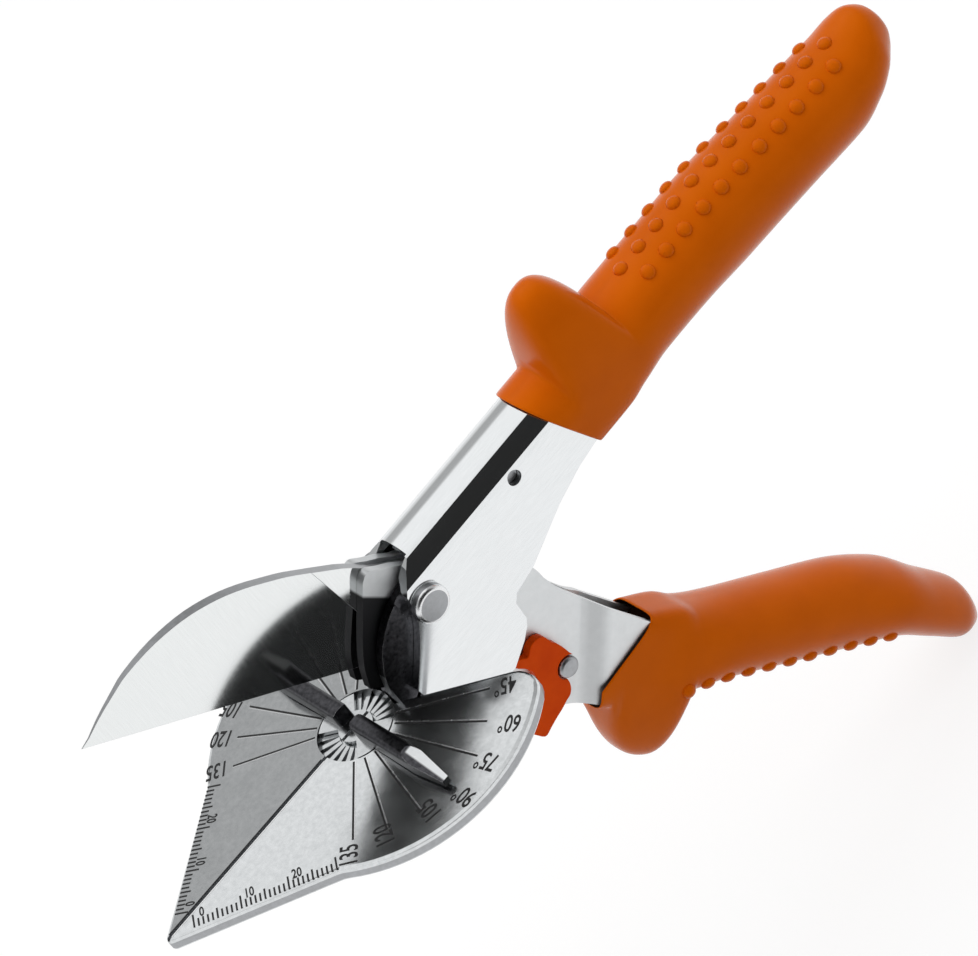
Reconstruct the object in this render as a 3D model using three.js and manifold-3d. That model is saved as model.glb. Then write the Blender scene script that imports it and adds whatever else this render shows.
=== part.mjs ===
// Mitre shears: a curved blade closes on a small anvil table that carries an angle scale.
// Millimetres, +Z up, +X from the handles to the table's tip, +Y to the side with the bolt head.
// The origin is the centre of the angle scale, on the flat top of the fence's hub.
import * as THREE from 'three';
import { mergeVertices } from 'three/addons/utils/BufferGeometryUtils.js';
import Module from 'manifold-3d';

const wasm = await Module();
wasm.setup();
const { sin, cos, tan, sqrt, atan2, hypot, PI } = Math;
const rad = THREE.MathUtils.degToRad;

// Clearances
const fitGap = 0.3;
const runningGap = 0.1;
const layerGap = 0.1;
const overrun = 3;

// Anvil table: two halves that fall away from the ridge under the blade
const tableThickness = 3.2;
const tableTilt = rad(4.2);
const rimRound = 0.9;
const lowerRimRound = 0.6;
const discRadius = 35.9;
const discSetback = 3.8;
const guideAngle = rad(55);
const guideShare = 0.886;
const guideDistance = discRadius * guideShare;
const tipRadius = 1.2;
const waistRadius = 6;
const backDistance = 2.97;
const cornerRadius = 5.5;
const grooveWidth = 0.8;
const grooveDepth = 0.8;
const centreFlat = 0.9;

// Hub of the angle scale
const recessRadius = 8.3;
const recessDepth = 2.05;
const rimWall = 0.55;
const toothCount = 24;
const toothHeight = 0.5;
const toothWidth = 0.9;
const toothLength = 4.3;
const bossDepth = 6.5;
const hubBore = 3.1;

// Fence: two bars on one turning hub
const hubDrop = 0.5;
const hubThickness = 0.85;
const hubHalfAngle = rad(40);
const barWidth = 3.7;
const barTop = 3.5;
const barStart = 2.3;
const barCorner = 0.9;
const barRound = 1.3;
const barShoulder = 18;
const barTaper = 20.5;
const barReach = 28.6;
const barTipHeight = 0.4;
const barTipWidth = 1.6;
const fenceTurn = rad(45);
const stubRadius = hubBore - runningGap;
const stubLength = 5.3;
const fenceScrewRadius = 1.5;
const fenceScrewHead = 3.2;
const fenceScrewHeadHeight = 2.2;
const fenceScrewLength = 5.5;
const fenceWasherRadius = 4.8;
const fenceWasherThickness = 0.8;
const springWasherThickness = 0.5;
const springWasherRise = 0.6;

// Pivot, seen from the angle centre
const pivotBack = 24.4;
const pivotHeight = 13.8;
const openAngle = rad(38.15);
const boltRadius = 2.4;
const boltHole = 2.5;
const boltHeadRadius = 4;
const boltHeadHeight = 2.3;
const boltHeadRound = 0.5;
const bushRadius = 3.5;
const pivotWasherRadius = 4.4;
const pivotWasherThickness = 0.6;
const nutRadius = 4;
const nutThickness = 1.9;
const nutRound = 0.5;
const nutSlotWidth = 1;
const boltShort = 0.7;

// Layers across the tool, from its middle plane outwards
const bladeHalf = 1.2;
const plateInner = 1.25;
const plateThickness = 2;
const plateOuter = plateInner + plateThickness;
const earInner = plateOuter + 0.25;
const earThickness = 2;
const earOuter = earInner + earThickness;
const sheetThickness = 1.9;
const sheetInner = earOuter + layerGap;
const sheetOuter = sheetInner + sheetThickness;

// Ears and tails of the anvil, measured from the ears' own centre
const earCentreBack = 26;
const earCentreHeight = 1;
const earRadius = 17.9;
const earStart = -0.2;
const earEnd = 1.69;
const tailShares = [
  [-0.279, 1.09], [-1.732, 1.09], [-1.732, 0.737], [-0.559, 0.682],
  [-0.279, 0.391], [0.000, -0.112], [0.335, -0.419], [1.173, -0.419], [1.173, -0.201],
];

// Blade, measured from the pivot: along the edge, and square to it
const bladeReach = 73.9;
const bladeDrop = 14;
const edgeHalf = 0.1;
const plungeTop = 22.3;
const plungeFoot = 6.2;
const bladeSpineShares = [
  [0.980, -0.871], [0.950, -0.600], [0.905, -0.271], [0.876, -0.086], [0.815, 0.182],
  [0.755, 0.379], [0.694, 0.529], [0.632, 0.629], [0.571, 0.689], [0.509, 0.714], [0.447, 0.714],
  [0.384, 0.704], [0.321, 0.668], [0.258, 0.629], [0.195, 0.579], [0.108, 0.457],
];
const bladeTailShares = [
  [0.027, 0.414], [-0.081, 0.357], [-0.189, 0.186], [-0.284, -0.107], [-0.338, -0.429],
  [-0.325, -0.750], [-0.244, -0.886], [-0.135, -0.900], [-0.027, -0.943], [0.068, -1.000],
];
const rivetRadius = 1.6;
const frontRivetShares = [-0.14, -0.30];
const rearRivetShares = [-0.26, -0.55];

// Lower handle, measured from the pivot along and square to the blade's edge
const neckReach = 56;
const neckDrop = 33;
const noseShares = [
  [0.170, -0.530], [0.189, -0.442], [0.202, -0.358], [0.210, -0.229], [0.214, -0.039],
  [0.218, 0.121], [0.216, 0.170], [0.207, 0.206], [0.189, 0.221], [0.148, 0.212], [0.093, 0.209],
];
const neckTopShares = [
  [0.029, 0.194], [-0.107, 0.194], [-0.250, 0.152], [-0.375, 0.061], [-0.464, -0.012],
  [-0.518, -0.067], [-0.564, -0.150], [-0.632, -0.244], [-0.723, -0.339], [-0.814, -0.421],
  [-0.866, -0.470], [-0.955, -0.548], [-1.036, -0.618], [-1.179, -0.709], [-1.357, -0.745],
];
const neckBottomShares = [
  [-1.071, -1.103], [-0.893, -1.079], [-0.741, -1.027], [-0.645, -1.003], [-0.500, -0.927],
  [-0.357, -0.818], [-0.214, -0.697], [-0.071, -0.606], [0.071, -0.558],
];
const lowerTangReach = 108;
const lowerTangTop = 26.5;
const lowerTangBottom = 36;
const mouthHalf = 5.9;
const flareStart = 40;
const flareEnd = 47;
const flareSteps = 8;
const webStart = 24;

// Upper handle: a bent sheet with two cheeks and a round-edged spine, measured from the pivot
const cheekReach = 47.6;
const cheekDrop = 29.1;
const cheekShares = [
  [-0.061, 0.289], [-0.019, 0.254], [0.023, 0.199], [0.055, 0.144], [0.063, 0.062],
  [0.076, -0.030], [0.092, -0.095], [0.124, -0.179], [0.193, -0.330], [0.261, -0.464], [0.248, -0.612],
  [0.187, -0.801], [0.082, -0.938], [-0.013, -0.997], [-0.107, -1.000], [-0.153, -0.952],
  [-0.208, -0.897], [-0.256, -0.825], [-0.273, -0.777], [-0.275, -0.680], [-0.277, -0.619],
  [-0.307, -0.560], [-0.363, -0.540], [-0.431, -0.515], [-0.532, -0.436], [-0.672, -0.326],
  [-0.834, -0.237], [-0.958, -0.199], [-1.084, -0.179],
];
const spineHeight = 9.5;
const spineRise = rad(1.6);
const spineRound = 7;
const spineFront = 3.5;
const tangHalf = 6;
const tangReach = 126;
const tangTop = 7.4;
const tangBottom = -4;
const tangStart = 46;

// Spring and its anchor pin
const anchorBack = 28.3;
const anchorHeight = 3.9;
const anchorRadius = 1.5;
const anchorSink = 1.4;
const springWire = 0.8;
const springSlack = 0.25;
const springTurns = 2;
const springSide = 3;
const springLean = rad(2.4);
const springLegUp = 8;
const springTailShares = [-0.257, -0.024];

// Grips: each ring has its reach, centre, half width and half height as shares, and the squareness
// of its upper and lower half
const gripHalfWidth = 10;
const gripHalfHeight = 9.8;
const gripColumns = 32;
const gripRows = 44;
const lobeBlend = 8;
const mouthFade = 32;

// Upper grip, with its thumb lobe
const upperGripReach = 144.1;
const upperGripRingShares = [
  [0.262, 0.18, 0.88, 0.99, 2.2, 4.9], [0.344, 0.21, 0.89, 0.99, 2.2, 4.6],
  [0.400, 0.25, 0.93, 0.97, 2.2, 3.4], [0.469, 0.27, 1, 0.97, 2.2, 2.2],
  [0.560, 0.30, 1, 1, 2.1, 2.1], [0.650, 0.29, 1, 1.09, 2, 2], [0.768, 0.22, 1, 1.05, 2, 2],
  [0.872, 0.15, 1, 1.02, 2, 2], [0.920, 0.23, 0.96, 0.87, 2, 2], [0.953, 0.38, 0.84, 0.77, 2, 2],
  [0.975, 0.48, 0.62, 0.69, 2, 2], [0.994, 0.50, 0.34, 0.40, 2, 2], [0.9995, 0.50, 0.12, 0.12, 2, 2],
];
const upperMouthTop = [38.6, 11.2];
const upperMouthFoot = [45.5, -4.9];
const upperMouthFloor = 7.5;
const upperLobe = {
  back: 54.4, front: 8.6, rear: 9.3, height: 25.5, half: 8.5, squareness: 2.23, fall: 2.4, side: 1,
};

// Lower grip, with its finger lobe
const lowerGripReach = 145.6;
const lowerGripRingShares = [
  [0.302, -2.70, 0.72, 0.91, 3.1, 3.1], [0.385, -2.78, 0.76, 0.91, 3, 3],
  [0.453, -2.95, 0.87, 0.92, 2.5, 2.5], [0.536, -3.04, 0.98, 0.88, 2.2, 2.2],
  [0.639, -3.11, 1, 0.91, 2.1, 2.1], [0.735, -3.17, 1, 0.94, 2, 2], [0.824, -3.32, 1.03, 0.83, 2, 2],
  [0.893, -3.69, 0.94, 0.72, 2, 2], [0.951, -4.02, 0.77, 0.66, 2, 2], [0.975, -4.17, 0.54, 0.46, 2, 2],
  [0.991, -4.32, 0.3, 0.21, 2, 2], [0.9985, -4.42, 0.1, 0.08, 2, 2],
];
const lowerMouthTop = [57, 18.9];
const lowerMouthFoot = [43.5, 32.5];
const lowerLobe = {
  back: 59, front: 12, rear: 8.5, height: 22.5, half: 6.8, squareness: 2.8, fall: 2.16, side: -1,
};

// Latch, measured from its stud
const studBack = 36.8;
const studDrop = 24.3;
const studRadius = 2.3;
const studLength = 3;
const latchThickness = 2;
const latchReach = 14.2;
const jawRadius = studRadius + fitGap;
const latchShares = [
  [-0.136, 0.183], [-0.121, 0.285], [-0.086, 0.434], [-0.034, 0.559], [0.000, 0.713],
  [0.051, 0.768], [0.122, 0.799], [0.219, 0.794], [0.297, 0.743], [0.360, 0.693], [0.432, 0.756],
  [0.520, 0.800], [0.585, 0.735], [0.463, 0.549], [0.432, 0.362], [0.486, 0.220], [0.621, 0.023],
  [0.836, -0.174], [0.980, -0.279], [0.940, -0.410], [0.857, -0.545], [0.724, -0.513],
  [0.575, -0.469], [0.436, -0.438], [0.307, -0.395], [0.222, -0.374], [0.153, -0.303], [0.119, -0.214],
];

const material = (color, roughness, metalness) =>
  new THREE.MeshStandardMaterial({ color, roughness, metalness });
const steel = () => material(0xdfe3e5, 0.22, 1);
const castSteel = () => material(0xc9cdcf, 0.3, 1);
const darkSteel = () => material(0x8d9195, 0.35, 1);
const springSteel = () => material(0x6f7478, 0.35, 1);
const grip = () => material(0xcd5f0b, 0.45, 0);
const latchRed = () => material(0xb43200, 0.5, 0);

// A closed geometry as a solid for joining and cutting, with its faces turned outwards
function solid(geometry) {
  const bare = geometry.clone();
  bare.deleteAttribute('normal');
  bare.deleteAttribute('uv');
  const merged = mergeVertices(bare);
  const triVerts = merged.index
    ? new Uint32Array(merged.index.array)
    : Uint32Array.from({ length: merged.attributes.position.count }, (_, i) => i);
  const vertProperties = new Float32Array(merged.attributes.position.array);
  const body = new wasm.Manifold(new wasm.Mesh({ numProp: 3, vertProperties, triVerts }));
  if (body.volume() > 0) return body;
  return new wasm.Manifold(new wasm.Mesh({ numProp: 3, vertProperties, triVerts: triVerts.reverse() }));
}

// A named mesh from a solid
function part(name, body, look) {
  const mesh = body.getMesh();
  const geometry = new THREE.BufferGeometry();
  geometry.setAttribute('position', new THREE.BufferAttribute(mesh.vertProperties, 3));
  geometry.setIndex(new THREE.BufferAttribute(mesh.triVerts, 1));
  geometry.computeVertexNormals();
  const item = new THREE.Mesh(geometry, look);
  item.name = name;
  return item;
}

const joined = (first, ...others) => others.reduce((all, body) => all.add(body), first);
const cut = (first, ...others) => others.reduce((all, body) => all.subtract(body), first);

// An outline in the XZ plane as a sheet between two places across the tool
function sheet(points, from, to) {
  const geometry = new THREE.ExtrudeGeometry(new THREE.Shape(points), {
    depth: to - from, bevelEnabled: false, steps: 1,
  });
  geometry.rotateX(PI / 2);
  geometry.translate(0, to, 0);
  return solid(geometry);
}

// An outline in the XY plane as a block between two heights
function block(points, from, to) {
  const geometry = new THREE.ExtrudeGeometry(new THREE.Shape(points), {
    depth: to - from, bevelEnabled: false, steps: 1,
  });
  geometry.translate(0, 0, from);
  return solid(geometry);
}

// A box by its lowest and highest corners
function box(low, high) {
  const size = high.map((v, i) => v - low[i]);
  const geometry = new THREE.BoxGeometry(...size);
  geometry.translate(...high.map((v, i) => (v + low[i]) / 2));
  return solid(geometry);
}

// A round body about a line across the tool, from a profile of radius and place
function turnedAcross(profile, x = 0, z = 0, segments = 40) {
  const geometry = new THREE.LatheGeometry(profile.map(([r, y]) => new THREE.Vector2(r, y)), segments);
  geometry.translate(x, 0, z);
  return solid(geometry);
}

const rodAcross = (radius, from, to, x = 0, z = 0, segments = 40) =>
  turnedAcross([[0, from], [radius, from], [radius, to], [0, to]], x, z, segments);

// A round body about the vertical through the angle centre
function turnedUpright(profile, segments = 48) {
  const geometry = new THREE.LatheGeometry(profile.map(([r, z]) => new THREE.Vector2(r, z)), segments);
  geometry.rotateX(PI / 2);
  return solid(geometry);
}

const place = ([x, z]) => new THREE.Vector2(x, z);
const scaled = (shares, across, up) => shares.map(([x, z]) => new THREE.Vector2(x * across, z * up));

// Points on a smooth curve through the given points
const smooth = (points, pieces) => new THREE.SplineCurve(points).getPoints(pieces);

// Points on an arc, both ends included
function arc(x, y, radius, from, to, pieces) {
  return Array.from({ length: pieces + 1 }, (_, i) => {
    const angle = from + (to - from) * i / pieces;
    return new THREE.Vector2(x + radius * cos(angle), y + radius * sin(angle));
  });
}

// A skin over rings of equal length, closed by a fan at each end
function skin(rings) {
  const count = rings[0].length;
  const positions = rings.flat().flatMap((p) => [p.x, p.y, p.z]);
  const index = [];
  for (let k = 0; k + 1 < rings.length; k++) {
    for (let i = 0; i < count; i++) {
      const a = k * count + i;
      const b = k * count + (i + 1) % count;
      index.push(a, b, a + count, b, b + count, a + count);
    }
  }
  for (const [k, flip] of [[0, true], [rings.length - 1, false]]) {
    const centre = rings[k].reduce((sum, p) => sum.clone().add(p), new THREE.Vector3());
    centre.divideScalar(count);
    const hub = positions.length / 3;
    positions.push(centre.x, centre.y, centre.z);
    for (let i = 0; i < count; i++) {
      const a = k * count + i;
      const b = k * count + (i + 1) % count;
      index.push(hub, flip ? b : a, flip ? a : b);
    }
  }
  const geometry = new THREE.BufferGeometry();
  geometry.setAttribute('position', new THREE.Float32BufferAttribute(positions, 3));
  geometry.setIndex(index);
  return geometry;
}

// A monotone cubic through evenly spaced values: each slope is the harmonic mean of its neighbours
function through(values, at) {
  const rise = values.slice(1).map((value, i) => value - values[i]);
  const slope = values.map((_, i) => {
    if (i === 0 || i === rise.length) return rise.at(i === 0 ? 0 : -1);
    const product = rise[i - 1] * rise[i];
    return product > 0 ? 2 * product / (rise[i - 1] + rise[i]) : 0;
  });
  const k = Math.min(Math.floor(at), rise.length - 1);
  const t = at - k;
  return (1 + 2 * t) * (1 - t) ** 2 * values[k] + t * (1 - t) ** 2 * slope[k]
    + t * t * (3 - 2 * t) * values[k + 1] + t * t * (t - 1) * slope[k + 1];
}

const easedStep = (t) => t * t * (3 - 2 * t);
const clamped = (t) => Math.min(Math.max(t, 0), 1);

// The radius of a squared-off ellipse at an angle
const superRadius = (wide, high, squareness, angle) =>
  (Math.abs(cos(angle) / wide) ** squareness + Math.abs(sin(angle) / high) ** squareness)
    ** (-1 / squareness);

// How far a lobe reaches from its ring's centre, at a place along the grip and an angle round it
function lobeRadius(lobe, x, angle) {
  const length = x > -lobe.back ? lobe.front : lobe.rear;
  const share = Math.abs((x + lobe.back) / length);
  const rise = sin(angle) * lobe.side;
  if (share >= 1 || rise <= -0.1) return 0;
  const high = lobe.height * sqrt(1 - share ** lobe.fall);
  return easedStep(clamped((rise + 0.1) * 2)) * superRadius(lobe.half, high, lobe.squareness, angle);
}

// A grip as rings of radius round its centre line, from its slanting mouth to its closed end
function gripBody(ringShares, reach, mouthTop, mouthFoot, lobe) {
  const columns = [0, 1, 2, 3, 4, 5].map((k) => ringShares.map((ring) => ring[k]));
  const slant = (mouthFoot[0] - mouthTop[0]) / (mouthFoot[1] - mouthTop[1]);
  const ringAt = (at) => {
    const [back, lift, wide, high, above, below] = columns.map((column) => through(column, at));
    return {
      x: -back * reach, centre: lift * gripHalfHeight,
      radius: (angle) => superRadius(
        wide * gripHalfWidth, high * gripHalfHeight, sin(angle) > 0 ? above : below, angle),
    };
  };
  const mouth = ringAt(0);
  const rings = Array.from({ length: gripRows + 1 }, (_, i) => {
    const ring = ringAt((ringShares.length - 1) * i / gripRows);
    const fade = 1 - easedStep(clamped((mouth.x - ring.x) / mouthFade));
    return Array.from({ length: gripColumns }, (_, j) => {
      const angle = 2 * PI * j / gripColumns;
      const mouthHeight = mouth.centre + mouth.radius(angle) * sin(angle);
      const mouthX = mouthTop[0] + (mouthHeight - mouthTop[1]) * slant;
      const x = ring.x + fade * (mouthX - mouth.x);
      const sleeve = ring.radius(angle);
      const radius = (sleeve ** lobeBlend + lobeRadius(lobe, x, angle) ** lobeBlend) ** (1 / lobeBlend);
      return new THREE.Vector3(x, radius * cos(angle), ring.centre + radius * sin(angle));
    });
  });
  return solid(skin(rings));
}

// Half of the table's outline, from the tip round to the back of the hub
function tableHalf() {
  const tipX = (guideDistance - tipRadius) / cos(guideAngle);
  const tipArc = arc(tipX, 0, tipRadius, 0, guideAngle, 4);
  const discToGuide = guideDistance + discSetback * cos(guideAngle);
  const along = sqrt((discRadius + waistRadius) ** 2 - (discToGuide + waistRadius) ** 2);
  const waistTurn = atan2(along, discToGuide + waistRadius);
  const waistX = -discSetback + (discRadius + waistRadius) * cos(guideAngle - waistTurn);
  const waistY = (discRadius + waistRadius) * sin(guideAngle - waistTurn);
  const waist = arc(waistX, waistY, waistRadius, guideAngle + PI, guideAngle - waistTurn + PI, 3);
  const inner = discRadius - cornerRadius;
  const backSum = (cornerRadius - backDistance) * sqrt(2);
  const lead = backSum + discSetback;
  const cornerX = (lead - sqrt(2 * inner ** 2 - lead ** 2)) / 2 - discSetback;
  const cornerY = backSum - cornerX;
  const discEnd = atan2(cornerY, cornerX + discSetback);
  const disc = arc(-discSetback, 0, discRadius, guideAngle - waistTurn, discEnd, 26);
  const corner = arc(cornerX, cornerY, cornerRadius, discEnd, PI * 5 / 4, 6);
  const hubOuter = recessRadius + rimWall;
  const hubStart = PI / 4 + Math.acos(-backDistance / hubOuter);
  const back = arc(0, 0, hubOuter, hubStart, PI, 4);
  return [...tipArc, ...waist, ...disc.slice(1), ...corner.slice(1), ...back];
}

// The table as two tilted halves that share the ridge, with rounded rims
function tablePlate() {
  const half = tableHalf();
  const rim = [...half, ...half.slice(1, -1).reverse().map((p) => new THREE.Vector2(p.x, -p.y))];
  const count = rim.length;
  const inset = (distance) => rim.map((p, i) => {
    const before = rim[(i + count - 1) % count];
    const after = rim[(i + 1) % count];
    const run = hypot(after.x - before.x, after.y - before.y);
    const across = new THREE.Vector2(-(after.y - before.y) / run, (after.x - before.x) / run);
    return p.clone().addScaledVector(across, distance);
  });
  const levels = [
    [lowerRimRound, -tableThickness], [lowerRimRound * 0.3, lowerRimRound * 0.3 - tableThickness],
    [0, lowerRimRound - tableThickness], [0, -rimRound], [rimRound * 0.3, -rimRound * 0.3],
    [rimRound, 0],
  ];
  const rings = levels.map(([distance, height]) => inset(distance).map((p) =>
    new THREE.Vector3(p.x, p.y, height - Math.abs(p.y) * tan(tableTilt))));
  const positions = rings.flat().flatMap((p) => [p.x, p.y, p.z]);
  const index = [];
  for (let k = 0; k + 1 < rings.length; k++) {
    for (let i = 0; i < count; i++) {
      const a = k * count + i;
      const b = k * count + (i + 1) % count;
      index.push(a, b, a + count, b, b + count, a + count);
    }
  }
  const nearSide = half.map((_, i) => i);
  const farSide = [0, ...half.slice(1, -1).map((_, i) => count - 1 - i), half.length - 1];
  for (const [k, up] of [[0, false], [rings.length - 1, true]]) {
    for (const side of [nearSide, farSide]) {
      const flat = side.map((i) => new THREE.Vector2(rings[k][i].x, rings[k][i].y));
      for (const [a, b, c] of THREE.ShapeUtils.triangulateShape(flat, [])) {
        const turn = (flat[b].x - flat[a].x) * (flat[c].y - flat[a].y)
          - (flat[b].y - flat[a].y) * (flat[c].x - flat[a].x) > 0;
        const face = [a, b, c].map((i) => k * count + side[i]);
        index.push(...(turn === up ? face : face.reverse()));
      }
    }
  }
  const geometry = new THREE.BufferGeometry();
  geometry.setAttribute('position', new THREE.Float32BufferAttribute(positions, 3));
  geometry.setIndex(index);
  return solid(geometry);
}

// The rounded section of the upper handle's sheet as a long bar, thinner by a wall
function channelBar(wall, low, back, front) {
  const half = sheetOuter - wall;
  const top = spineHeight - wall;
  const round = spineRound - wall;
  const section = [
    new THREE.Vector2(-half, low), new THREE.Vector2(half, low),
    ...arc(half - round, top - round, round, 0, PI / 2, 8),
    ...arc(round - half, top - round, round, PI / 2, PI, 8),
  ];
  const geometry = new THREE.ExtrudeGeometry(new THREE.Shape(section), {
    depth: back + front, bevelEnabled: false, steps: 1,
  });
  geometry.rotateX(PI / 2);
  geometry.rotateZ(PI / 2);
  geometry.translate(-back, 0, 0);
  geometry.rotateY(spineRise);
  return solid(geometry);
}

// Ears at one side of the anvil, with the tail that runs back inside the upper handle
function ear(side) {
  const front = arc(-earCentreBack, earCentreHeight, earRadius, earStart, earEnd, 14);
  const tail = tailShares.map(([x, z]) =>
    new THREE.Vector2(x * earRadius - earCentreBack, z * earRadius + earCentreHeight));
  const [from, to] = side > 0 ? [earInner, earOuter] : [-earOuter, -earInner];
  return sheet([...front, ...tail], from, to);
}

// Room that a bar of the fence takes at the end of its turn
function barRoom(angle) {
  const room = box(
    [barStart, -barWidth / 2 - fitGap, -hubDrop],
    [barReach, barWidth / 2 + fitGap, barTop + fitGap],
  );
  return room.rotate([0, 0, THREE.MathUtils.radToDeg(angle)]);
}

// Anvil: table, hub boss, ears and tails in one casting
const pivotX = -pivotBack;
const hubOuter = recessRadius + rimWall;
const boss = turnedUpright([
  [0, -bossDepth], [hubOuter, -bossDepth], [hubOuter, -tableThickness / 2], [0, -tableThickness / 2],
]);
const slot = box(
  [-pivotBack - earRadius, -earInner, -bossDepth - overrun],
  [-hubOuter - fitGap, earInner, -tableThickness / 2],
);
const recess = turnedUpright([
  [0, -recessDepth], [recessRadius, -recessDepth], [recessRadius, overrun], [0, overrun],
], 72);
const groove = box(
  [-hubOuter - overrun, -grooveWidth / 2, -grooveDepth],
  [guideDistance * 2, grooveWidth / 2, overrun],
);
const barEnd = cheekReach * 1.5;
const channelRoom = channelBar(sheetThickness + fitGap / 2, -cheekDrop, barEnd, pivotBack)
  .translate([pivotX, 0, pivotHeight]);
const tailLimit = box(
  [-pivotBack - cheekReach * 1.5, -sheetOuter, pivotHeight + spineHeight - spineRound * 1.5],
  [pivotX + cheekReach * 0.1, sheetOuter, pivotHeight + cheekDrop],
);
const ears = joined(ear(1), ear(-1));
const shapedEars = cut(
  ears, tailLimit.subtract(channelRoom), barRoom(PI - fenceTurn), barRoom(PI + fenceTurn),
);
const anvilBlank = joined(tablePlate(), boss, shapedEars);
const anchorX = pivotX - anchorBack;
const anchorZ = pivotHeight + anchorHeight;
let anvilBody = cut(
  anvilBlank, slot, recess, groove,
  turnedUpright([
    [0, -bossDepth - overrun], [hubBore, -bossDepth - overrun], [hubBore, overrun], [0, overrun],
  ]),
  rodAcross(boltHole, -earOuter - overrun, earOuter + overrun, pivotX, pivotHeight),
  rodAcross(anchorRadius + runningGap, -earOuter - overrun, earOuter + overrun, anchorX, anchorZ, 24),
);
for (let i = 0; i < toothCount; i++) {
  const rib = box(
    [recessRadius - toothLength, -toothWidth / 2, -recessDepth - toothHeight],
    [recessRadius + rimWall / 2, toothWidth / 2, toothHeight - recessDepth],
  );
  anvilBody = anvilBody.add(rib.rotate([0, 0, 360 * i / toothCount]));
}

// Fence: a bow-tie hub with a bar each way, on a stub that turns in the boss
const hubTop = -hubDrop;
const hubFoot = hubTop - hubThickness;
function bowTieSide(middle) {
  const rim = arc(0, 0, recessRadius - fitGap, middle - hubHalfAngle, middle + hubHalfAngle, 12);
  return block([new THREE.Vector2(0, 0), ...rim], hubFoot, hubTop);
}
function roundedBar() {
  const inner = barWidth / 2 - barRound;
  const section = [
    new THREE.Vector2(-barWidth / 2, -hubThickness * 4), new THREE.Vector2(barWidth / 2, -hubThickness * 4),
    ...arc(inner, barTop - barRound, barRound, 0, PI / 2, 5),
    ...arc(-inner, barTop - barRound, barRound, PI / 2, PI, 5),
  ];
  return sheet(section, 0, barReach + overrun);
}
function bar(side) {
  const inner = barWidth / 2 - barCorner;
  const nose = [
    ...arc(-inner, barStart + barCorner, barCorner, PI, PI * 3 / 2, 4),
    ...arc(inner, barStart + barCorner, barCorner, PI * 3 / 2, 2 * PI, 4),
  ];
  const plan = [
    ...nose, new THREE.Vector2(barWidth / 2, barTaper),
    new THREE.Vector2(barTipWidth / 2, barReach), new THREE.Vector2(-barTipWidth / 2, barReach),
    new THREE.Vector2(-barWidth / 2, barTaper),
  ];
  const fall = tan(tableTilt) * cos(fenceTurn);
  const barStep = recessRadius - fitGap * 2;
  const underside = (reach) => fitGap - reach * fall;
  const profile = [
    [barStart - overrun, hubTop - hubThickness / 2], [barStep, hubTop - hubThickness / 2],
    [barStep, underside(recessRadius)], [barReach + overrun, underside(barReach + overrun)],
    [barReach + overrun, barTipHeight], [barReach, barTipHeight], [barShoulder, barTop],
    [barStart - overrun, barTop],
  ];
  const sideView = sheet(profile.map(place), -barWidth, barWidth).rotate([0, 0, 90]);
  const body = block(plan, -hubThickness * 4, barTop + overrun).intersect(sideView).intersect(roundedBar());
  return side > 0 ? body : body.rotate([0, 0, 180]);
}
const stub = turnedUpright([
  [0, hubFoot - stubLength], [stubRadius, hubFoot - stubLength], [stubRadius, hubTop - hubThickness / 2],
  [0, hubTop - hubThickness / 2],
]);
const stubFoot = hubFoot - stubLength;
const springTop = -bossDepth;
const springFoot = springTop - springWasherRise - springWasherThickness;
const washerFoot = springFoot - fenceWasherThickness;
const fenceGrooves = [[-recessRadius, -centreFlat], [centreFlat, recessRadius]].map(([from, to]) => box(
  [from, -grooveWidth / 2, hubTop - grooveDepth / 2], [to, grooveWidth / 2, hubTop + overrun],
));
const hubCentre = turnedUpright([
  [0, hubFoot], [recessRadius - toothLength - fitGap, hubFoot], [recessRadius - toothLength - fitGap, hubTop],
  [0, hubTop],
]);
const fenceBody = cut(
  joined(bowTieSide(PI / 2), bowTieSide(-PI / 2), hubCentre, bar(1), bar(-1), stub),
  ...fenceGrooves,
  turnedUpright([[0, stubFoot - overrun], [fenceScrewRadius + runningGap, stubFoot - overrun],
    [fenceScrewRadius + runningGap, washerFoot + fenceScrewLength + runningGap],
    [0, washerFoot + fenceScrewLength + runningGap]], 24),
);
const springWasherBody = turnedUpright([
  [stubRadius + fitGap, springTop - springWasherThickness], [fenceWasherRadius, springFoot],
  [fenceWasherRadius, springFoot + springWasherThickness], [stubRadius + fitGap, springTop],
  [stubRadius + fitGap, springTop - springWasherThickness],
], 40);
const fenceWasherBody = turnedUpright([
  [fenceScrewRadius + runningGap, washerFoot], [fenceWasherRadius, washerFoot],
  [fenceWasherRadius, springFoot], [fenceScrewRadius + runningGap, springFoot],
  [fenceScrewRadius + runningGap, washerFoot],
], 40);
const driveWidth = fenceScrewRadius / 2;
const fenceScrewBody = cut(
  turnedUpright([
    [0, washerFoot - fenceScrewHeadHeight], [fenceScrewHead, washerFoot - fenceScrewHeadHeight],
    [fenceScrewHead, washerFoot], [fenceScrewRadius, washerFoot],
    [fenceScrewRadius, washerFoot + fenceScrewLength], [0, washerFoot + fenceScrewLength],
  ], 32),
  box(
    [-fenceScrewHead - overrun, -driveWidth / 2, washerFoot - fenceScrewHeadHeight - overrun],
    [fenceScrewHead + overrun, driveWidth / 2, washerFoot - fenceScrewHeadHeight / 2],
  ),
);

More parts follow.
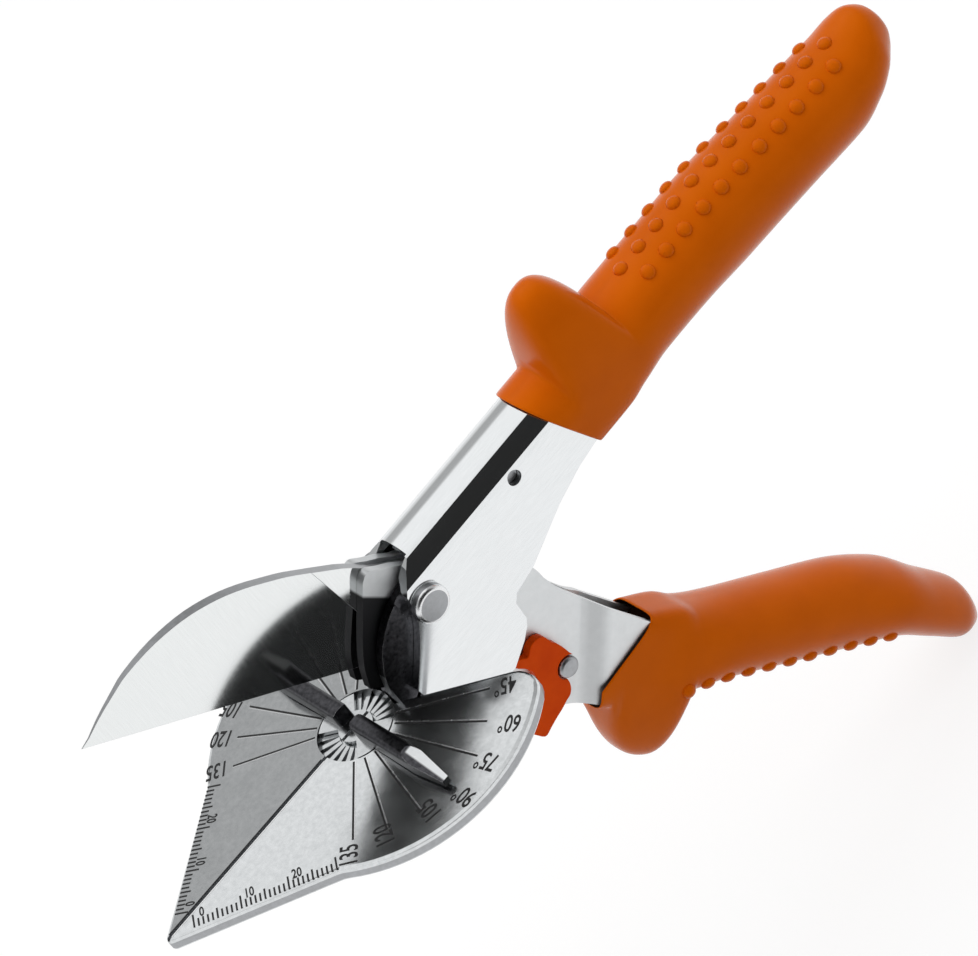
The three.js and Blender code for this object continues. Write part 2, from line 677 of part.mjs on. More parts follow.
// Upper handle: cheeks from their outline, spine from the rounded section
const cheekPath = scaled(cheekShares, cheekReach, cheekDrop);
const cheekOutline = [
  ...cheekPath, new THREE.Vector2(cheekPath.at(-1).x, spineHeight * 2),
  new THREE.Vector2(cheekPath[0].x, spineHeight * 2),
];
const outerBar = channelBar(0, -cheekDrop - overrun, barEnd, pivotBack);
const innerBar = channelBar(sheetThickness, -cheekDrop - overrun * 2, barEnd + overrun, pivotBack + overrun);
const cheeks = sheet(cheekOutline, -sheetOuter, sheetOuter).intersect(outerBar).subtract(innerBar);
const tang = cut(
  box([-tangReach, -tangHalf, tangBottom], [-tangStart, tangHalf, tangTop]),
  box([-tangReach - overrun, sheetThickness - tangHalf, tangBottom - overrun],
    [overrun - tangStart, tangHalf - sheetThickness, tangTop - sheetThickness]),
);
const noseSlot = box(
  [-spineFront, -plateOuter - fitGap * 2, spineHeight - spineRound],
  [pivotBack, plateOuter + fitGap * 2, cheekDrop],
);
const upperHandleBody = cut(
  joined(cheeks, tang), noseSlot,
  rodAcross(boltHole, -sheetOuter - overrun, sheetOuter + overrun),
  rodAcross(
    anchorRadius + runningGap, -sheetOuter - overrun, sheetOuter + overrun, -anchorBack, anchorHeight, 24,
  ),
);

// Upper grip, bored for the handle
const upperGripBody = cut(
  gripBody(
    upperGripRingShares, upperGripReach,
    [-upperMouthTop[0], upperMouthTop[1]], [-upperMouthFoot[0], upperMouthFoot[1]], upperLobe,
  ),
  channelBar(-fitGap, -upperMouthFloor, fitGap - cheekPath.at(-1).x, 0),
  box(
    [-tangReach - fitGap, -tangHalf - fitGap, tangBottom - fitGap],
    [-tangStart, tangHalf + fitGap, tangTop + fitGap],
  ),
);

// Blade: a full-height grind from the plunge line to the tip
const spinePath = smooth(scaled(bladeSpineShares, bladeReach, bladeDrop), 34);
const tailPath = smooth(scaled(bladeTailShares, bladeReach, bladeDrop), 16);
const bladeOutline = [
  new THREE.Vector2(bladeReach, -bladeDrop), ...spinePath, ...tailPath,
];
function grindSide(side) {
  const fullHeight = bladeDrop * 0.75;
  const section = [
    new THREE.Vector2(edgeHalf, -bladeDrop - overrun), new THREE.Vector2(bladeHalf * 2, -bladeDrop - overrun),
    new THREE.Vector2(bladeHalf * 2, fullHeight), new THREE.Vector2(bladeHalf, fullHeight),
    new THREE.Vector2(edgeHalf, -bladeDrop),
  ];
  const geometry = new THREE.ExtrudeGeometry(new THREE.Shape(section), {
    depth: bladeReach * 1.5, bevelEnabled: false, steps: 1,
  });
  geometry.rotateX(PI / 2);
  geometry.rotateZ(PI / 2);
  const long = side > 0 ? solid(geometry) : solid(geometry).mirror([0, 1, 0]);
  const plunge = sheet([
    new THREE.Vector2(plungeFoot, -bladeDrop / 2), new THREE.Vector2(plungeTop, bladeDrop * 0.62),
    new THREE.Vector2(plungeTop + bladeDrop, bladeDrop * 1.6),
    new THREE.Vector2(bladeReach * 2, bladeDrop * 2),
    new THREE.Vector2(bladeReach * 2, -bladeDrop * 2), new THREE.Vector2(-bladeDrop / 2, -bladeDrop * 1.6),
  ], -overrun * 2, overrun * 2);
  return long.intersect(plunge);
}
const frontRivet = [frontRivetShares[0] * bladeReach, frontRivetShares[1] * bladeDrop];
const rearRivet = [rearRivetShares[0] * bladeReach, rearRivetShares[1] * bladeDrop];
const rivetHoles = [frontRivet, rearRivet].map(([x, z]) =>
  rodAcross(rivetRadius + runningGap, -plateOuter - overrun, plateOuter + overrun, x, z, 24));
const pivotHole = rodAcross(bushRadius + runningGap, -plateOuter - overrun, plateOuter + overrun, 0, 0, 48);
const bladeBody = cut(
  sheet(bladeOutline, -bladeHalf, bladeHalf), grindSide(1), grindSide(-1), pivotHole, ...rivetHoles,
);

// Lower handle: two front plates that widen into a channel
const nosePath = smooth(scaled(noseShares, neckReach, neckDrop), 20);
const neckTop = smooth(scaled(neckTopShares, neckReach, neckDrop), 26);
const neckBottom = smooth(scaled(neckBottomShares, neckReach, neckDrop), 14);
const handleOutline = [
  ...nosePath, ...neckTop, new THREE.Vector2(-lowerTangReach, -lowerTangTop),
  new THREE.Vector2(-lowerTangReach, -lowerTangBottom), ...neckBottom,
];
function planOutline(narrow, wide) {
  const flare = Array.from({ length: flareSteps + 1 }, (_, i) => new THREE.Vector2(
    (flareStart - flareEnd) * i / flareSteps - flareStart,
    narrow + (wide - narrow) * easedStep(i / flareSteps),
  ));
  const far = -lowerTangReach - overrun;
  const side = [new THREE.Vector2(neckReach, narrow), ...flare, new THREE.Vector2(far, wide)];
  return [...side, ...side.map((p) => new THREE.Vector2(p.x, -p.y)).reverse()];
}
const floorPath = neckBottom.map((p) => new THREE.Vector2(p.x, p.y + plateThickness))
  .filter((p) => p.x < -webStart);
const cavityOutline = [
  new THREE.Vector2(neckReach, neckDrop), new THREE.Vector2(-lowerTangReach - overrun, neckDrop),
  new THREE.Vector2(-lowerTangReach - overrun, plateThickness - lowerTangBottom), ...floorPath,
  new THREE.Vector2(-webStart, -neckDrop * 1.5), new THREE.Vector2(neckReach, -neckDrop * 1.5),
];
const cavity = sheet(cavityOutline, -mouthHalf, mouthHalf)
  .intersect(block(planOutline(plateInner, mouthHalf - plateThickness), -neckDrop * 2, neckDrop * 2));
const lowerHandleBody = cut(
  sheet(handleOutline, -mouthHalf, mouthHalf)
    .intersect(block(planOutline(plateOuter, mouthHalf), -neckDrop * 2, neckDrop * 2)),
  cavity, pivotHole, ...rivetHoles,
  rodAcross(studRadius + runningGap, 0, plateOuter + overrun, -studBack, -studDrop, 32),
);

// Lower grip, bored for the handle's channel
const boreTop = neckTop.filter((p) => p.x < -flareStart).map((p) => new THREE.Vector2(p.x, p.y + fitGap));
const boreFoot = neckBottom.filter((p) => p.x < -webStart).map((p) => new THREE.Vector2(p.x, p.y - fitGap));
const boreOutline = [
  new THREE.Vector2(-webStart, 0), ...boreTop,
  new THREE.Vector2(-lowerTangReach - fitGap, fitGap - lowerTangTop),
  new THREE.Vector2(-lowerTangReach - fitGap, -lowerTangBottom - fitGap), ...boreFoot,
];
const lowerGripBody = cut(
  gripBody(
    lowerGripRingShares, lowerGripReach,
    [-lowerMouthTop[0], -lowerMouthTop[1]], [-lowerMouthFoot[0], -lowerMouthFoot[1]], lowerLobe,
  ),
  sheet(boreOutline, -mouthHalf - fitGap, mouthHalf + fitGap),
);

// Fasteners at the pivot
const boltEnd = boltShort - sheetOuter - pivotWasherThickness - nutThickness;
const boltBody = turnedAcross([
  [0, boltEnd], [boltRadius, boltEnd],
  [boltRadius, sheetOuter], [boltHeadRadius, sheetOuter],
  [boltHeadRadius, sheetOuter + boltHeadHeight - boltHeadRound],
  [boltHeadRadius - boltHeadRound, sheetOuter + boltHeadHeight], [0, sheetOuter + boltHeadHeight],
]);
const bushHalf = earInner - layerGap / 2;
const bushBody = turnedAcross([
  [boltRadius + runningGap, -bushHalf], [bushRadius, -bushHalf], [bushRadius, bushHalf],
  [boltRadius + runningGap, bushHalf], [boltRadius + runningGap, -bushHalf],
], 0, 0, 48);
const washerOut = -sheetOuter - pivotWasherThickness;
const washerBody = turnedAcross([
  [boltRadius + runningGap, washerOut], [pivotWasherRadius, washerOut], [pivotWasherRadius, -sheetOuter],
  [boltRadius + runningGap, -sheetOuter], [boltRadius + runningGap, washerOut],
]);
const nutOut = washerOut - nutThickness;
const nutBody = cut(
  turnedAcross([
    [0, nutOut], [nutRadius - nutRound, nutOut], [nutRadius, nutOut + nutRound], [nutRadius, washerOut],
    [0, washerOut],
  ]),
  rodAcross(boltRadius + runningGap, nutOut - overrun, washerOut + overrun),
  box(
    [-nutRadius - overrun, nutOut - overrun, -nutSlotWidth / 2],
    [nutRadius + overrun, nutOut + boltShort, nutSlotWidth / 2],
  ),
);
const anchorHalf = sheetOuter - anchorSink;
const anchorBody = rodAcross(anchorRadius, -anchorHalf, anchorHalf, -anchorBack, anchorHeight, 24);

// Return spring: round its pin, with one leg under the spine and one on the blade's tail
function springPath() {
  const radius = anchorRadius + springWire / 2 + springSlack;
  const upAngle = PI / 2 + springLean;
  const tailX = springTailShares[0] * bladeReach;
  const tailZ = springTailShares[1] * bladeDrop + springWire / 2 + fitGap;
  const targetX = tailX * cos(openAngle) - tailZ * sin(openAngle) + anchorBack;
  const targetZ = tailX * sin(openAngle) + tailZ * cos(openAngle) - anchorHeight;
  const distance = hypot(targetX, targetZ);
  const legDown = sqrt(distance ** 2 - radius ** 2);
  const heading = atan2(targetZ, targetX) + Math.asin(radius / distance);
  const turn = heading + PI * 3 / 2 - upAngle + 2 * PI * springTurns;
  const steps = springTurns * 8 + 4;
  const around = (angle, y) => new THREE.Vector3(
    radius * cos(angle) - anchorBack, y, radius * sin(angle) + anchorHeight,
  );
  const coil = Array.from({ length: steps + 1 }, (_, i) =>
    around(upAngle + turn * i / steps, springSide * (1 - i / steps)));
  const upEnd = coil[0].clone().add(
    new THREE.Vector3(cos(springLean), 0, sin(springLean)).multiplyScalar(springLegUp));
  const downEnd = coil.at(-1).clone().add(
    new THREE.Vector3(cos(heading), 0, sin(heading)).multiplyScalar(legDown));
  return { points: [upEnd, ...coil, downEnd], coil };
}

// A wire of five sides along a path whose steps all lie nearly square to Y
function wire(points, radius, sides = 5) {
  const rings = points.map((p, i) => {
    const before = points[Math.max(i - 1, 0)];
    const after = points[Math.min(i + 1, points.length - 1)];
    const along = after.clone().sub(before).normalize();
    const out = new THREE.Vector3(-along.z, 0, along.x).normalize();
    const side = along.clone().cross(out);
    return Array.from({ length: sides }, (_, k) => p.clone()
      .addScaledVector(out, radius * cos(2 * PI * k / sides))
      .addScaledVector(side, radius * sin(2 * PI * k / sides)));
  });
  return solid(skin(rings));
}

// The least gap of the coil to itself, between points more than half a turn apart
function leastGap(coil, perTurn) {
  const gaps = coil.flatMap((p, i) =>
    coil.slice(i + Math.round(perTurn / 2)).map((q) => p.distanceTo(q) - springWire));
  return Math.min(...gaps);
}
const springRun = springPath();
console.log(`least gap between the spring's turns: ${leastGap(springRun.coil, 8).toFixed(2)} mm`);
const springBody = wire(springRun.points, springWire / 2);

// Rivets and the latch's stud
const rivet = ([x, z]) => rodAcross(rivetRadius, -plateOuter, plateOuter, x, z, 24);
const studBody = turnedAcross([
  [0, plateInner + layerGap], [studRadius, plateInner + layerGap],
  [studRadius, plateOuter + studLength * 0.75],
  [studRadius * 0.8, plateOuter + studLength * 0.93], [0, plateOuter + studLength],
], -studBack, -studDrop, 32);

// Latch: an arm, a jaw round the stud and a thumb tab
const latchOutline = [
  ...smooth(scaled(latchShares, latchReach, latchReach), 72),
  ...arc(0, 0, jawRadius, rad(-52), rad(150), 14),
];
const latchBody = sheet(latchOutline, plateOuter + layerGap, plateOuter + layerGap + latchThickness);

// Assembly
const shears = new THREE.Group();
shears.position.z = hubDrop;
shears.add(part('anvil', anvilBody, castSteel()));

const fence = new THREE.Group();
fence.add(part('fence', fenceBody, castSteel()));
fence.add(part('fence_spring', springWasherBody, springSteel()));
fence.add(part('fence_washer', fenceWasherBody, darkSteel()));
fence.add(part('fence_screw', fenceScrewBody, darkSteel()));
shears.add(fence);

const upper = new THREE.Group();
upper.position.set(-pivotBack, 0, pivotHeight);
upper.add(part('upper_handle', upperHandleBody, steel()));
upper.add(part('upper_grip', upperGripBody, grip()));
upper.add(part('pivot_bolt', boltBody, darkSteel()));
upper.add(part('pivot_bush', bushBody, darkSteel()));
upper.add(part('pivot_washer', washerBody, darkSteel()));
upper.add(part('pivot_nut', nutBody, darkSteel()));
upper.add(part('spring_pin', anchorBody, darkSteel()));
upper.add(part('return_spring', springBody, springSteel()));
shears.add(upper);

const lower = new THREE.Group();
lower.position.set(-pivotBack, 0, pivotHeight);
lower.rotation.y = -openAngle;
lower.add(part('lower_handle', lowerHandleBody, steel()));
lower.add(part('lower_grip', lowerGripBody, grip()));
lower.add(part('blade', bladeBody, steel()));
lower.add(part('blade_rivet_front', rivet(frontRivet), darkSteel()));
lower.add(part('blade_rivet_rear', rivet(rearRivet), darkSteel()));
lower.add(part('latch_stud', studBody, darkSteel()));
const latch = new THREE.Group();
latch.position.set(-studBack, 0, -studDrop);
latch.rotation.y = openAngle;
latch.add(part('latch', latchBody, latchRed()));
lower.add(latch);
shears.add(lower);

export default shears;
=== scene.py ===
# %% [markdown]
# # Mitre shears, dressed in Blender
#
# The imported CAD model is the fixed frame: every piece here stands where the CAD says, in metres. +X runs
# to the tip of the angle table, +Z up, +Y to the side with the bolt's head. The first cell loads the model
# and keeps its box, because nothing made below may grow past it.

# %% Load the frame
import math
import bpy
import bmesh
import numpy as np
from mathutils import Matrix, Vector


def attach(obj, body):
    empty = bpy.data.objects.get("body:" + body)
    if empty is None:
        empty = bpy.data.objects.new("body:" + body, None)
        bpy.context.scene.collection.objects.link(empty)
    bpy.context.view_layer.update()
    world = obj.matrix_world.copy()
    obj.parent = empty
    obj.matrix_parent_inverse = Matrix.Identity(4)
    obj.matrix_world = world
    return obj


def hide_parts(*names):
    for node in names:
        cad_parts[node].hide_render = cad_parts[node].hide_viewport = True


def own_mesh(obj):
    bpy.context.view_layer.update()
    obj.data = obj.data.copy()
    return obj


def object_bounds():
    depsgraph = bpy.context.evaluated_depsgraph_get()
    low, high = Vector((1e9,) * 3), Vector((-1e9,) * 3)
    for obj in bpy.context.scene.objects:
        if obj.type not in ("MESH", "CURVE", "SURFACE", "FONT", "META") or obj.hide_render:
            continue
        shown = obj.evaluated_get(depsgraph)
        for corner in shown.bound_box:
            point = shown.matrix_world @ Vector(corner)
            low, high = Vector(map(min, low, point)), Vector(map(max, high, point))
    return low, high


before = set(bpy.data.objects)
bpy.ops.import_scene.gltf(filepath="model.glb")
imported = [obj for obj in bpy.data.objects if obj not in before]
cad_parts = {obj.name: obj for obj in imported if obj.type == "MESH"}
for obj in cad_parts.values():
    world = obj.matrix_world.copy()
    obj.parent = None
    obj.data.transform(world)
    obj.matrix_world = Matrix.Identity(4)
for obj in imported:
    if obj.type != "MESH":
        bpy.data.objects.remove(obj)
cad_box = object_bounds()
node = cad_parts
MM = 0.001
print("CAD box", cad_box)

# %% [markdown]
# ## Camera
#
# The ruler's ticks and the angle marks settle where the photographer stood: about a metre and a half away,
# on a long lens. The three rows below are the picture's right, down and forward directions.

# %% Camera
IMAGE_WIDE = 978
FOCAL_PIXELS = 7917.23
SENSOR_WIDE = 36
CLIP_START = 0.01
CLIP_END = 20
EYE = np.array([242.1, 1068.2, 1026.74])
RIGHT = np.array([-0.6440, 0.6115, -0.4597])
DOWN = np.array([0.7396, 0.3443, -0.5783])
FORWARD = np.array([-0.1953, -0.7124, -0.6740])


def aim(eye, right, down, forward):
    """A camera's 4x4 matrix: its own X is right, its Y is minus down, its Z is minus forward. The three
    measured directions are made exactly square to each other by a QR factorisation."""
    measured = np.column_stack([right, -down, -forward])
    turn, _ = np.linalg.qr(measured)
    turn *= np.sign(np.sum(turn * measured, axis=0))
    place = np.eye(4)
    place[:3, :3] = turn
    place[:3, 3] = eye * MM
    return Matrix(place.tolist())


lens = bpy.data.cameras.new("camera")
lens.sensor_width = SENSOR_WIDE
lens.lens = FOCAL_PIXELS * lens.sensor_width / IMAGE_WIDE
lens.clip_start = CLIP_START
lens.clip_end = CLIP_END
camera = bpy.data.objects.new("camera", lens)
camera.matrix_world = aim(EYE, RIGHT, DOWN, FORWARD)
bpy.context.scene.collection.objects.link(camera)
bpy.context.scene.camera = camera
bpy.context.scene.view_settings.view_transform = "Standard"
print("lens", round(lens.lens, 1), "mm")

# %% [markdown]
# ## Node helpers
#
# A few small functions serve the studio and the materials alike: a link, a soft step, a mix of two values,
# and the distance along an axis.

# %% Node helpers


def link(tree, a, b):
    tree.links.new(a, b)


def smooth_band(tree, value, low, high):
    """Map Range with a smooth step: 0 below low, 1 above high."""
    step = tree.nodes.new("ShaderNodeMapRange")
    step.interpolation_type = "SMOOTHSTEP"
    step.inputs["From Min"].default_value = low
    step.inputs["From Max"].default_value = high
    link(tree, value, step.inputs["Value"])
    return step.outputs["Result"]


def blended(tree, factor, low, high):
    """A float Mix: low where factor is 0, high where it is 1; either may be a number or an output."""
    mix = tree.nodes.new("ShaderNodeMix")
    mix.data_type = "FLOAT"
    link(tree, factor, mix.inputs["Factor"])
    for value, entry in ((low, mix.inputs["A"]), (high, mix.inputs["B"])):
        if isinstance(value, (int, float)):
            entry.default_value = value
        else:
            link(tree, value, entry)
    return mix.outputs["Result"]


def along_axis(tree, vector, axis):
    """Dot product of a vector output with an axis."""
    dot = tree.nodes.new("ShaderNodeVectorMath")
    dot.operation = "DOT_PRODUCT"
    dot.inputs[1].default_value = axis
    link(tree, vector, dot.inputs[0])
    return dot.outputs["Value"]


print("node helpers ready")

# %% [markdown]
# ## Studio
#
# Bright plated steel shows its surroundings more than itself. The photograph's bright and dark bands say what
# stood around the tool: a large soft light overhead and a little behind, a dark room on the photographer's
# side, and a white sweep below and behind. The world repeats that by direction. To the camera it is white.
# What lights the plastic is stronger than what the steel mirrors, so that neither is too dark or too pale.

# %% World
SOFTBOX_SIDE = (0.0, -0.30, 0.954)
SOFTBOX_EDGE = (36, 28)
SOFTBOX_LEVEL = 2.5
SOFTBOX_MIRRORED = 1.25
DARK_SIDE = (0.05, 0.883, 0.467)
DARK_EDGE = (58, 42)
DARK_LEVEL = 0.03
FILL_LEVEL = 0.6
ROOM_LEVEL = 0.55
SWEEP_FADE = (0.10, 0.30)
UP = (0, 0, 1)
WHITE = 1.0


def make_world():
    """The world's strength by direction: white sweep, room, dark side and softbox, one laid over another."""
    world = bpy.data.worlds.new("studio")
    world.use_nodes = True
    tree = world.node_tree
    tree.nodes.clear()
    direction = tree.nodes.new("ShaderNodeTexCoord").outputs["Generated"]
    rays = tree.nodes.new("ShaderNodeLightPath")

    def cone(axis, edge):
        """1 inside a cone round the axis, fading out between the edge's two angles in degrees."""
        wide, narrow = (math.cos(math.radians(angle)) for angle in edge)
        return smooth_band(tree, along_axis(tree, direction, axis), wide, narrow)

    def level(mirrored, lighting):
        """One strength for what is mirrored, another for what lights rough surfaces."""
        return blended(tree, rays.outputs["Is Diffuse Ray"], mirrored, lighting)

    height = smooth_band(tree, along_axis(tree, direction, UP), *SWEEP_FADE)
    sweep = blended(tree, height, WHITE, ROOM_LEVEL)
    room = blended(tree, cone(DARK_SIDE, DARK_EDGE), sweep, level(DARK_LEVEL, FILL_LEVEL))
    lit = blended(tree, cone(SOFTBOX_SIDE, SOFTBOX_EDGE), room, level(SOFTBOX_MIRRORED, SOFTBOX_LEVEL))
    background = tree.nodes.new("ShaderNodeBackground")
    link(tree, blended(tree, rays.outputs["Is Camera Ray"], lit, WHITE), background.inputs["Strength"])
    out = tree.nodes.new("ShaderNodeOutputWorld")
    link(tree, background.outputs["Background"], out.inputs["Surface"])
    return world


bpy.context.scene.world = make_world()
print("studio: softbox", SOFTBOX_LEVEL, "room", ROOM_LEVEL)

# %% [markdown]
# ## Mesh helpers
#
# Every shape below is worked out as whole arrays. A grid of points becomes a mesh with one call; a closed
# grid wraps round its columns, and each end is closed with a fan.

# %% Mesh helpers


def new_mesh(name, points, faces, smooth=True):
    """Points in millimetres and faces as tuples of indices become an object at the origin, in metres."""
    mesh = bpy.data.meshes.new(name)
    mesh.from_pydata((np.asarray(points, float) * MM).tolist(), [], faces)
    mesh.update()
    if smooth:
        mesh.shade_smooth()
    item = bpy.data.objects.new(name, mesh)
    bpy.context.scene.collection.objects.link(item)
    return item


def tube_faces(rows, columns):
    """Quads of a grid whose columns close on themselves, then a fan over the first and the last row."""
    i, j = np.meshgrid(np.arange(rows - 1), np.arange(columns), indexing="ij")
    a = i * columns + j
    b = i * columns + (j + 1) % columns
    quads = np.stack([a, b, b + columns, a + columns], -1).reshape(-1, 4).tolist()
    k = np.arange(columns)
    first = rows * columns
    start = np.stack([np.full(columns, first), (k + 1) % columns, k], -1).tolist()
    last = (rows - 1) * columns
    end = np.stack([np.full(columns, first + 1), last + k, last + (k + 1) % columns], -1).tolist()
    return quads + start + end


def face_outwards(item):
    """Recalculate the normals of a closed mesh."""
    mesh = bmesh.new()
    mesh.from_mesh(item.data)
    bmesh.ops.recalc_face_normals(mesh, faces=mesh.faces)
    mesh.to_mesh(item.data)
    mesh.free()


def unit(vectors):
    """Vectors of length 1 in the same directions."""
    return vectors / np.linalg.norm(vectors, axis=-1, keepdims=True)


def eased(t):
    """The smooth step 3t^2 - 2t^3 of t held between 0 and 1."""
    t = np.clip(t, 0, 1)
    return t * t * (3 - 2 * t)


def through(xs, ys, at):
    """A monotone cubic through (xs, ys): each slope is the harmonic mean of its two neighbours' slopes."""
    xs, ys = np.asarray(xs, float), np.asarray(ys, float)
    step = np.diff(xs)
    rise = np.diff(ys) / step
    same = rise[:-1] * rise[1:] > 0
    safe = np.where(same, rise[:-1] * rise[1:], 1)
    inner = np.where(same, 2 * safe / np.where(same, rise[:-1] + rise[1:], 1), 0)
    slope = np.concatenate([[rise[0]], inner, [rise[-1]]])
    k = np.clip(np.searchsorted(xs, at) - 1, 0, len(step) - 1)
    t = np.clip((at - xs[k]) / step[k], 0, 1)
    h = step[k]
    return ((1 + 2 * t) * (1 - t) ** 2 * ys[k] + t * (1 - t) ** 2 * h * slope[k]
            + t * t * (3 - 2 * t) * ys[k + 1] + t * t * (t - 1) * h * slope[k + 1])


print("mesh helpers ready")

# %% [markdown]
# ## Materials
#
# Each finish is one Principled shader with its own procedural detail in Object coordinates, so the pattern
# stays on the piece however it turns. A noise gives the colour its variation, the same or another noise the
# roughness.

# %% Material helpers
COLOUR_STOPS = (0.3, 0.7)
WORN_STOPS = (0.35, 0.7)


def finish(name, colour, metallic, roughness):
    """A new material; returns it with its tree, shader and the object's coordinates in metres."""
    material = bpy.data.materials.new(name)
    material.use_nodes = True
    tree = material.node_tree
    shader = tree.nodes["Principled BSDF"]
    shader.inputs["Base Color"].default_value = (*colour, 1)
    shader.inputs["Metallic"].default_value = metallic
    shader.inputs["Roughness"].default_value = roughness
    place = tree.nodes.new("ShaderNodeTexCoord").outputs["Object"]
    return material, tree, shader, place


def stretched(tree, place, scale, turn=(0, 0, 0)):
    """The coordinates turned and scaled by a Mapping node."""
    mapping = tree.nodes.new("ShaderNodeMapping")
    mapping.inputs["Scale"].default_value = scale
    mapping.inputs["Rotation"].default_value = turn
    link(tree, place, mapping.inputs["Vector"])
    return mapping.outputs["Vector"]


def noise(tree, place, scale, detail=3.0, roughness=0.5):
    """Noise with features about 1 / scale metres apart."""
    texture = tree.nodes.new("ShaderNodeTexNoise")
    texture.inputs["Scale"].default_value = scale
    texture.inputs["Detail"].default_value = detail
    texture.inputs["Roughness"].default_value = roughness
    link(tree, place, texture.inputs["Vector"])
    return texture.outputs["Fac"]


def ramp(tree, value, darker, lighter, stops=COLOUR_STOPS):
    """A colour ramp from darker to lighter between two stops."""
    band = tree.nodes.new("ShaderNodeValToRGB")
    for element, position, colour in zip(band.color_ramp.elements, stops, (darker, lighter)):
        element.position = position
        element.color = (*colour, 1)
    link(tree, value, band.inputs["Fac"])
    return band.outputs["Color"]


def overlaid(tree, factor, under, colour):
    """A colour Mix: the output under where factor is 0, one colour where it is 1."""
    mix = tree.nodes.new("ShaderNodeMix")
    mix.data_type = "RGBA"
    first, second = [entry for entry in mix.inputs if entry.type == "RGBA"]
    link(tree, factor, mix.inputs["Factor"])
    link(tree, under, first)
    second.default_value = (*colour, 1)
    return next(result for result in mix.outputs if result.type == "RGBA")


def spread(tree, value, low, high):
    """Map 0..1 to low..high."""
    step = tree.nodes.new("ShaderNodeMapRange")
    step.inputs["To Min"].default_value = low
    step.inputs["To Max"].default_value = high
    link(tree, value, step.inputs["Value"])
    return step.outputs["Result"]


def colour_by(tree, shader, colour):
    link(tree, colour, shader.inputs["Base Color"])


def roughness_by(tree, shader, pattern, low, high):
    link(tree, spread(tree, pattern, low, high), shader.inputs["Roughness"])


def bumped(tree, shader, height, distance, strength=1.0):
    """Relief of that distance in metres on the shader's normal."""
    relief = tree.nodes.new("ShaderNodeBump")
    relief.inputs["Distance"].default_value = distance
    relief.inputs["Strength"].default_value = strength
    link(tree, height, relief.inputs["Height"])
    link(tree, relief.outputs["Normal"], shader.inputs["Normal"])


print("material helpers ready")

# %% [markdown]
# The bright steels come first. The cheeks are a rolled and plated sheet with a long fine grain; the blade has
# grinding lines that lie across it; the casting is mottled. The lower handle is satin, and its nose has a
# painted dark reflection but for one bright patch, whose three edges are soft steps along slanting axes.

# %% Bright steels
GRIND_ANGLE = math.radians(38)
NOSE_START = (-0.0245, -0.0235)
PATCH_FOOT = (0.0445, 0.0458)
PATCH_FOOT_AXIS = (-1.32, 0, 1)
PATCH_FRONT = (0.0012, 0.0018)
PATCH_FRONT_AXIS = (1, 0, 0.713)
NOSE_DARK_REFLECTION = (0.03, 0.03, 0.032)


def plated_sheet():
    """The upper handle's sheet."""
    material, tree, shader, place = finish("plated_sheet", (0.80, 0.82, 0.83), metallic=1, roughness=0.1)
    grain = noise(tree, stretched(tree, place, scale=(400, 3000, 3000)), scale=1.0, detail=4)
    colour_by(tree, shader, ramp(tree, grain, (0.80, 0.82, 0.83), (0.84, 0.86, 0.87)))
    roughness_by(tree, shader, noise(tree, place, scale=120), 0.08, 0.2)
    bumped(tree, shader, noise(tree, place, scale=60), distance=0.00003, strength=0.4)
    return material


def satin_sheet():
    """The lower handle's sheet, with a painted dark reflection over its nose but for one bright patch."""
    material, tree, shader, place = finish("satin_sheet", (0.78, 0.80, 0.81), metallic=1, roughness=0.4)
    nose = smooth_band(tree, along_axis(tree, place, (1, 0, 0)), *NOSE_START)
    over = smooth_band(tree, along_axis(tree, place, PATCH_FOOT_AXIS), *PATCH_FOOT)
    front = smooth_band(tree, along_axis(tree, place, PATCH_FRONT_AXIS), *PATCH_FRONT)
    # A painted dark reflection covers the nose, but for one patch with three soft edges.
    painted_dark = blended(tree, over, nose, blended(tree, front, 0.0, nose))
    grain = noise(tree, place, scale=500)
    light = ramp(tree, grain, (0.74, 0.76, 0.77), (0.80, 0.82, 0.83))
    colour_by(tree, shader, overlaid(tree, painted_dark, light, NOSE_DARK_REFLECTION))
    roughness_by(tree, shader, grain, 0.44, 0.54)
    return material


def plated_casting():
    """The table and the fence."""
    material, tree, shader, place = finish("plated_casting", (0.66, 0.68, 0.69), metallic=1, roughness=0.2)
    mottle = noise(tree, place, scale=900, detail=4, roughness=0.6)
    colour_by(tree, shader, ramp(tree, mottle, (0.62, 0.64, 0.65), (0.74, 0.76, 0.77)))
    roughness_by(tree, shader, noise(tree, place, scale=200), 0.12, 0.24)
    bumped(tree, shader, noise(tree, place, scale=90, detail=2), distance=0.00006, strength=0.3)
    return material


def ground_blade():
    """The blade, with grinding lines across it."""
    material, tree, shader, place = finish("ground_blade", (0.80, 0.82, 0.82), metallic=1, roughness=0.07)
    lines = noise(tree, stretched(tree, place, scale=(4000, 200, 200), turn=(0, GRIND_ANGLE, 0)), scale=1.0)
    colour_by(tree, shader, ramp(tree, lines, (0.80, 0.82, 0.82), (0.84, 0.86, 0.86)))
    roughness_by(tree, shader, lines, 0.05, 0.11)
    return material


def worn_edge():
    """Edges worn bright by handling, and painted highlights: thin bright lines on edges and beside the marks.
    """
    material, tree, shader, place = finish("worn_edge", (0.86, 0.87, 0.88), metallic=1, roughness=0.25)
    roughness_by(tree, shader, noise(tree, place, scale=500), 0.2, 0.34)
    return material


sheet_steel = plated_sheet()
satin_steel = satin_sheet()
cast_plate = plated_casting()
blade_polish = ground_blade()
bright_edge = worn_edge()
for coat in (sheet_steel, satin_steel, cast_plate, blade_polish, bright_edge):
    print("steel", coat.name)
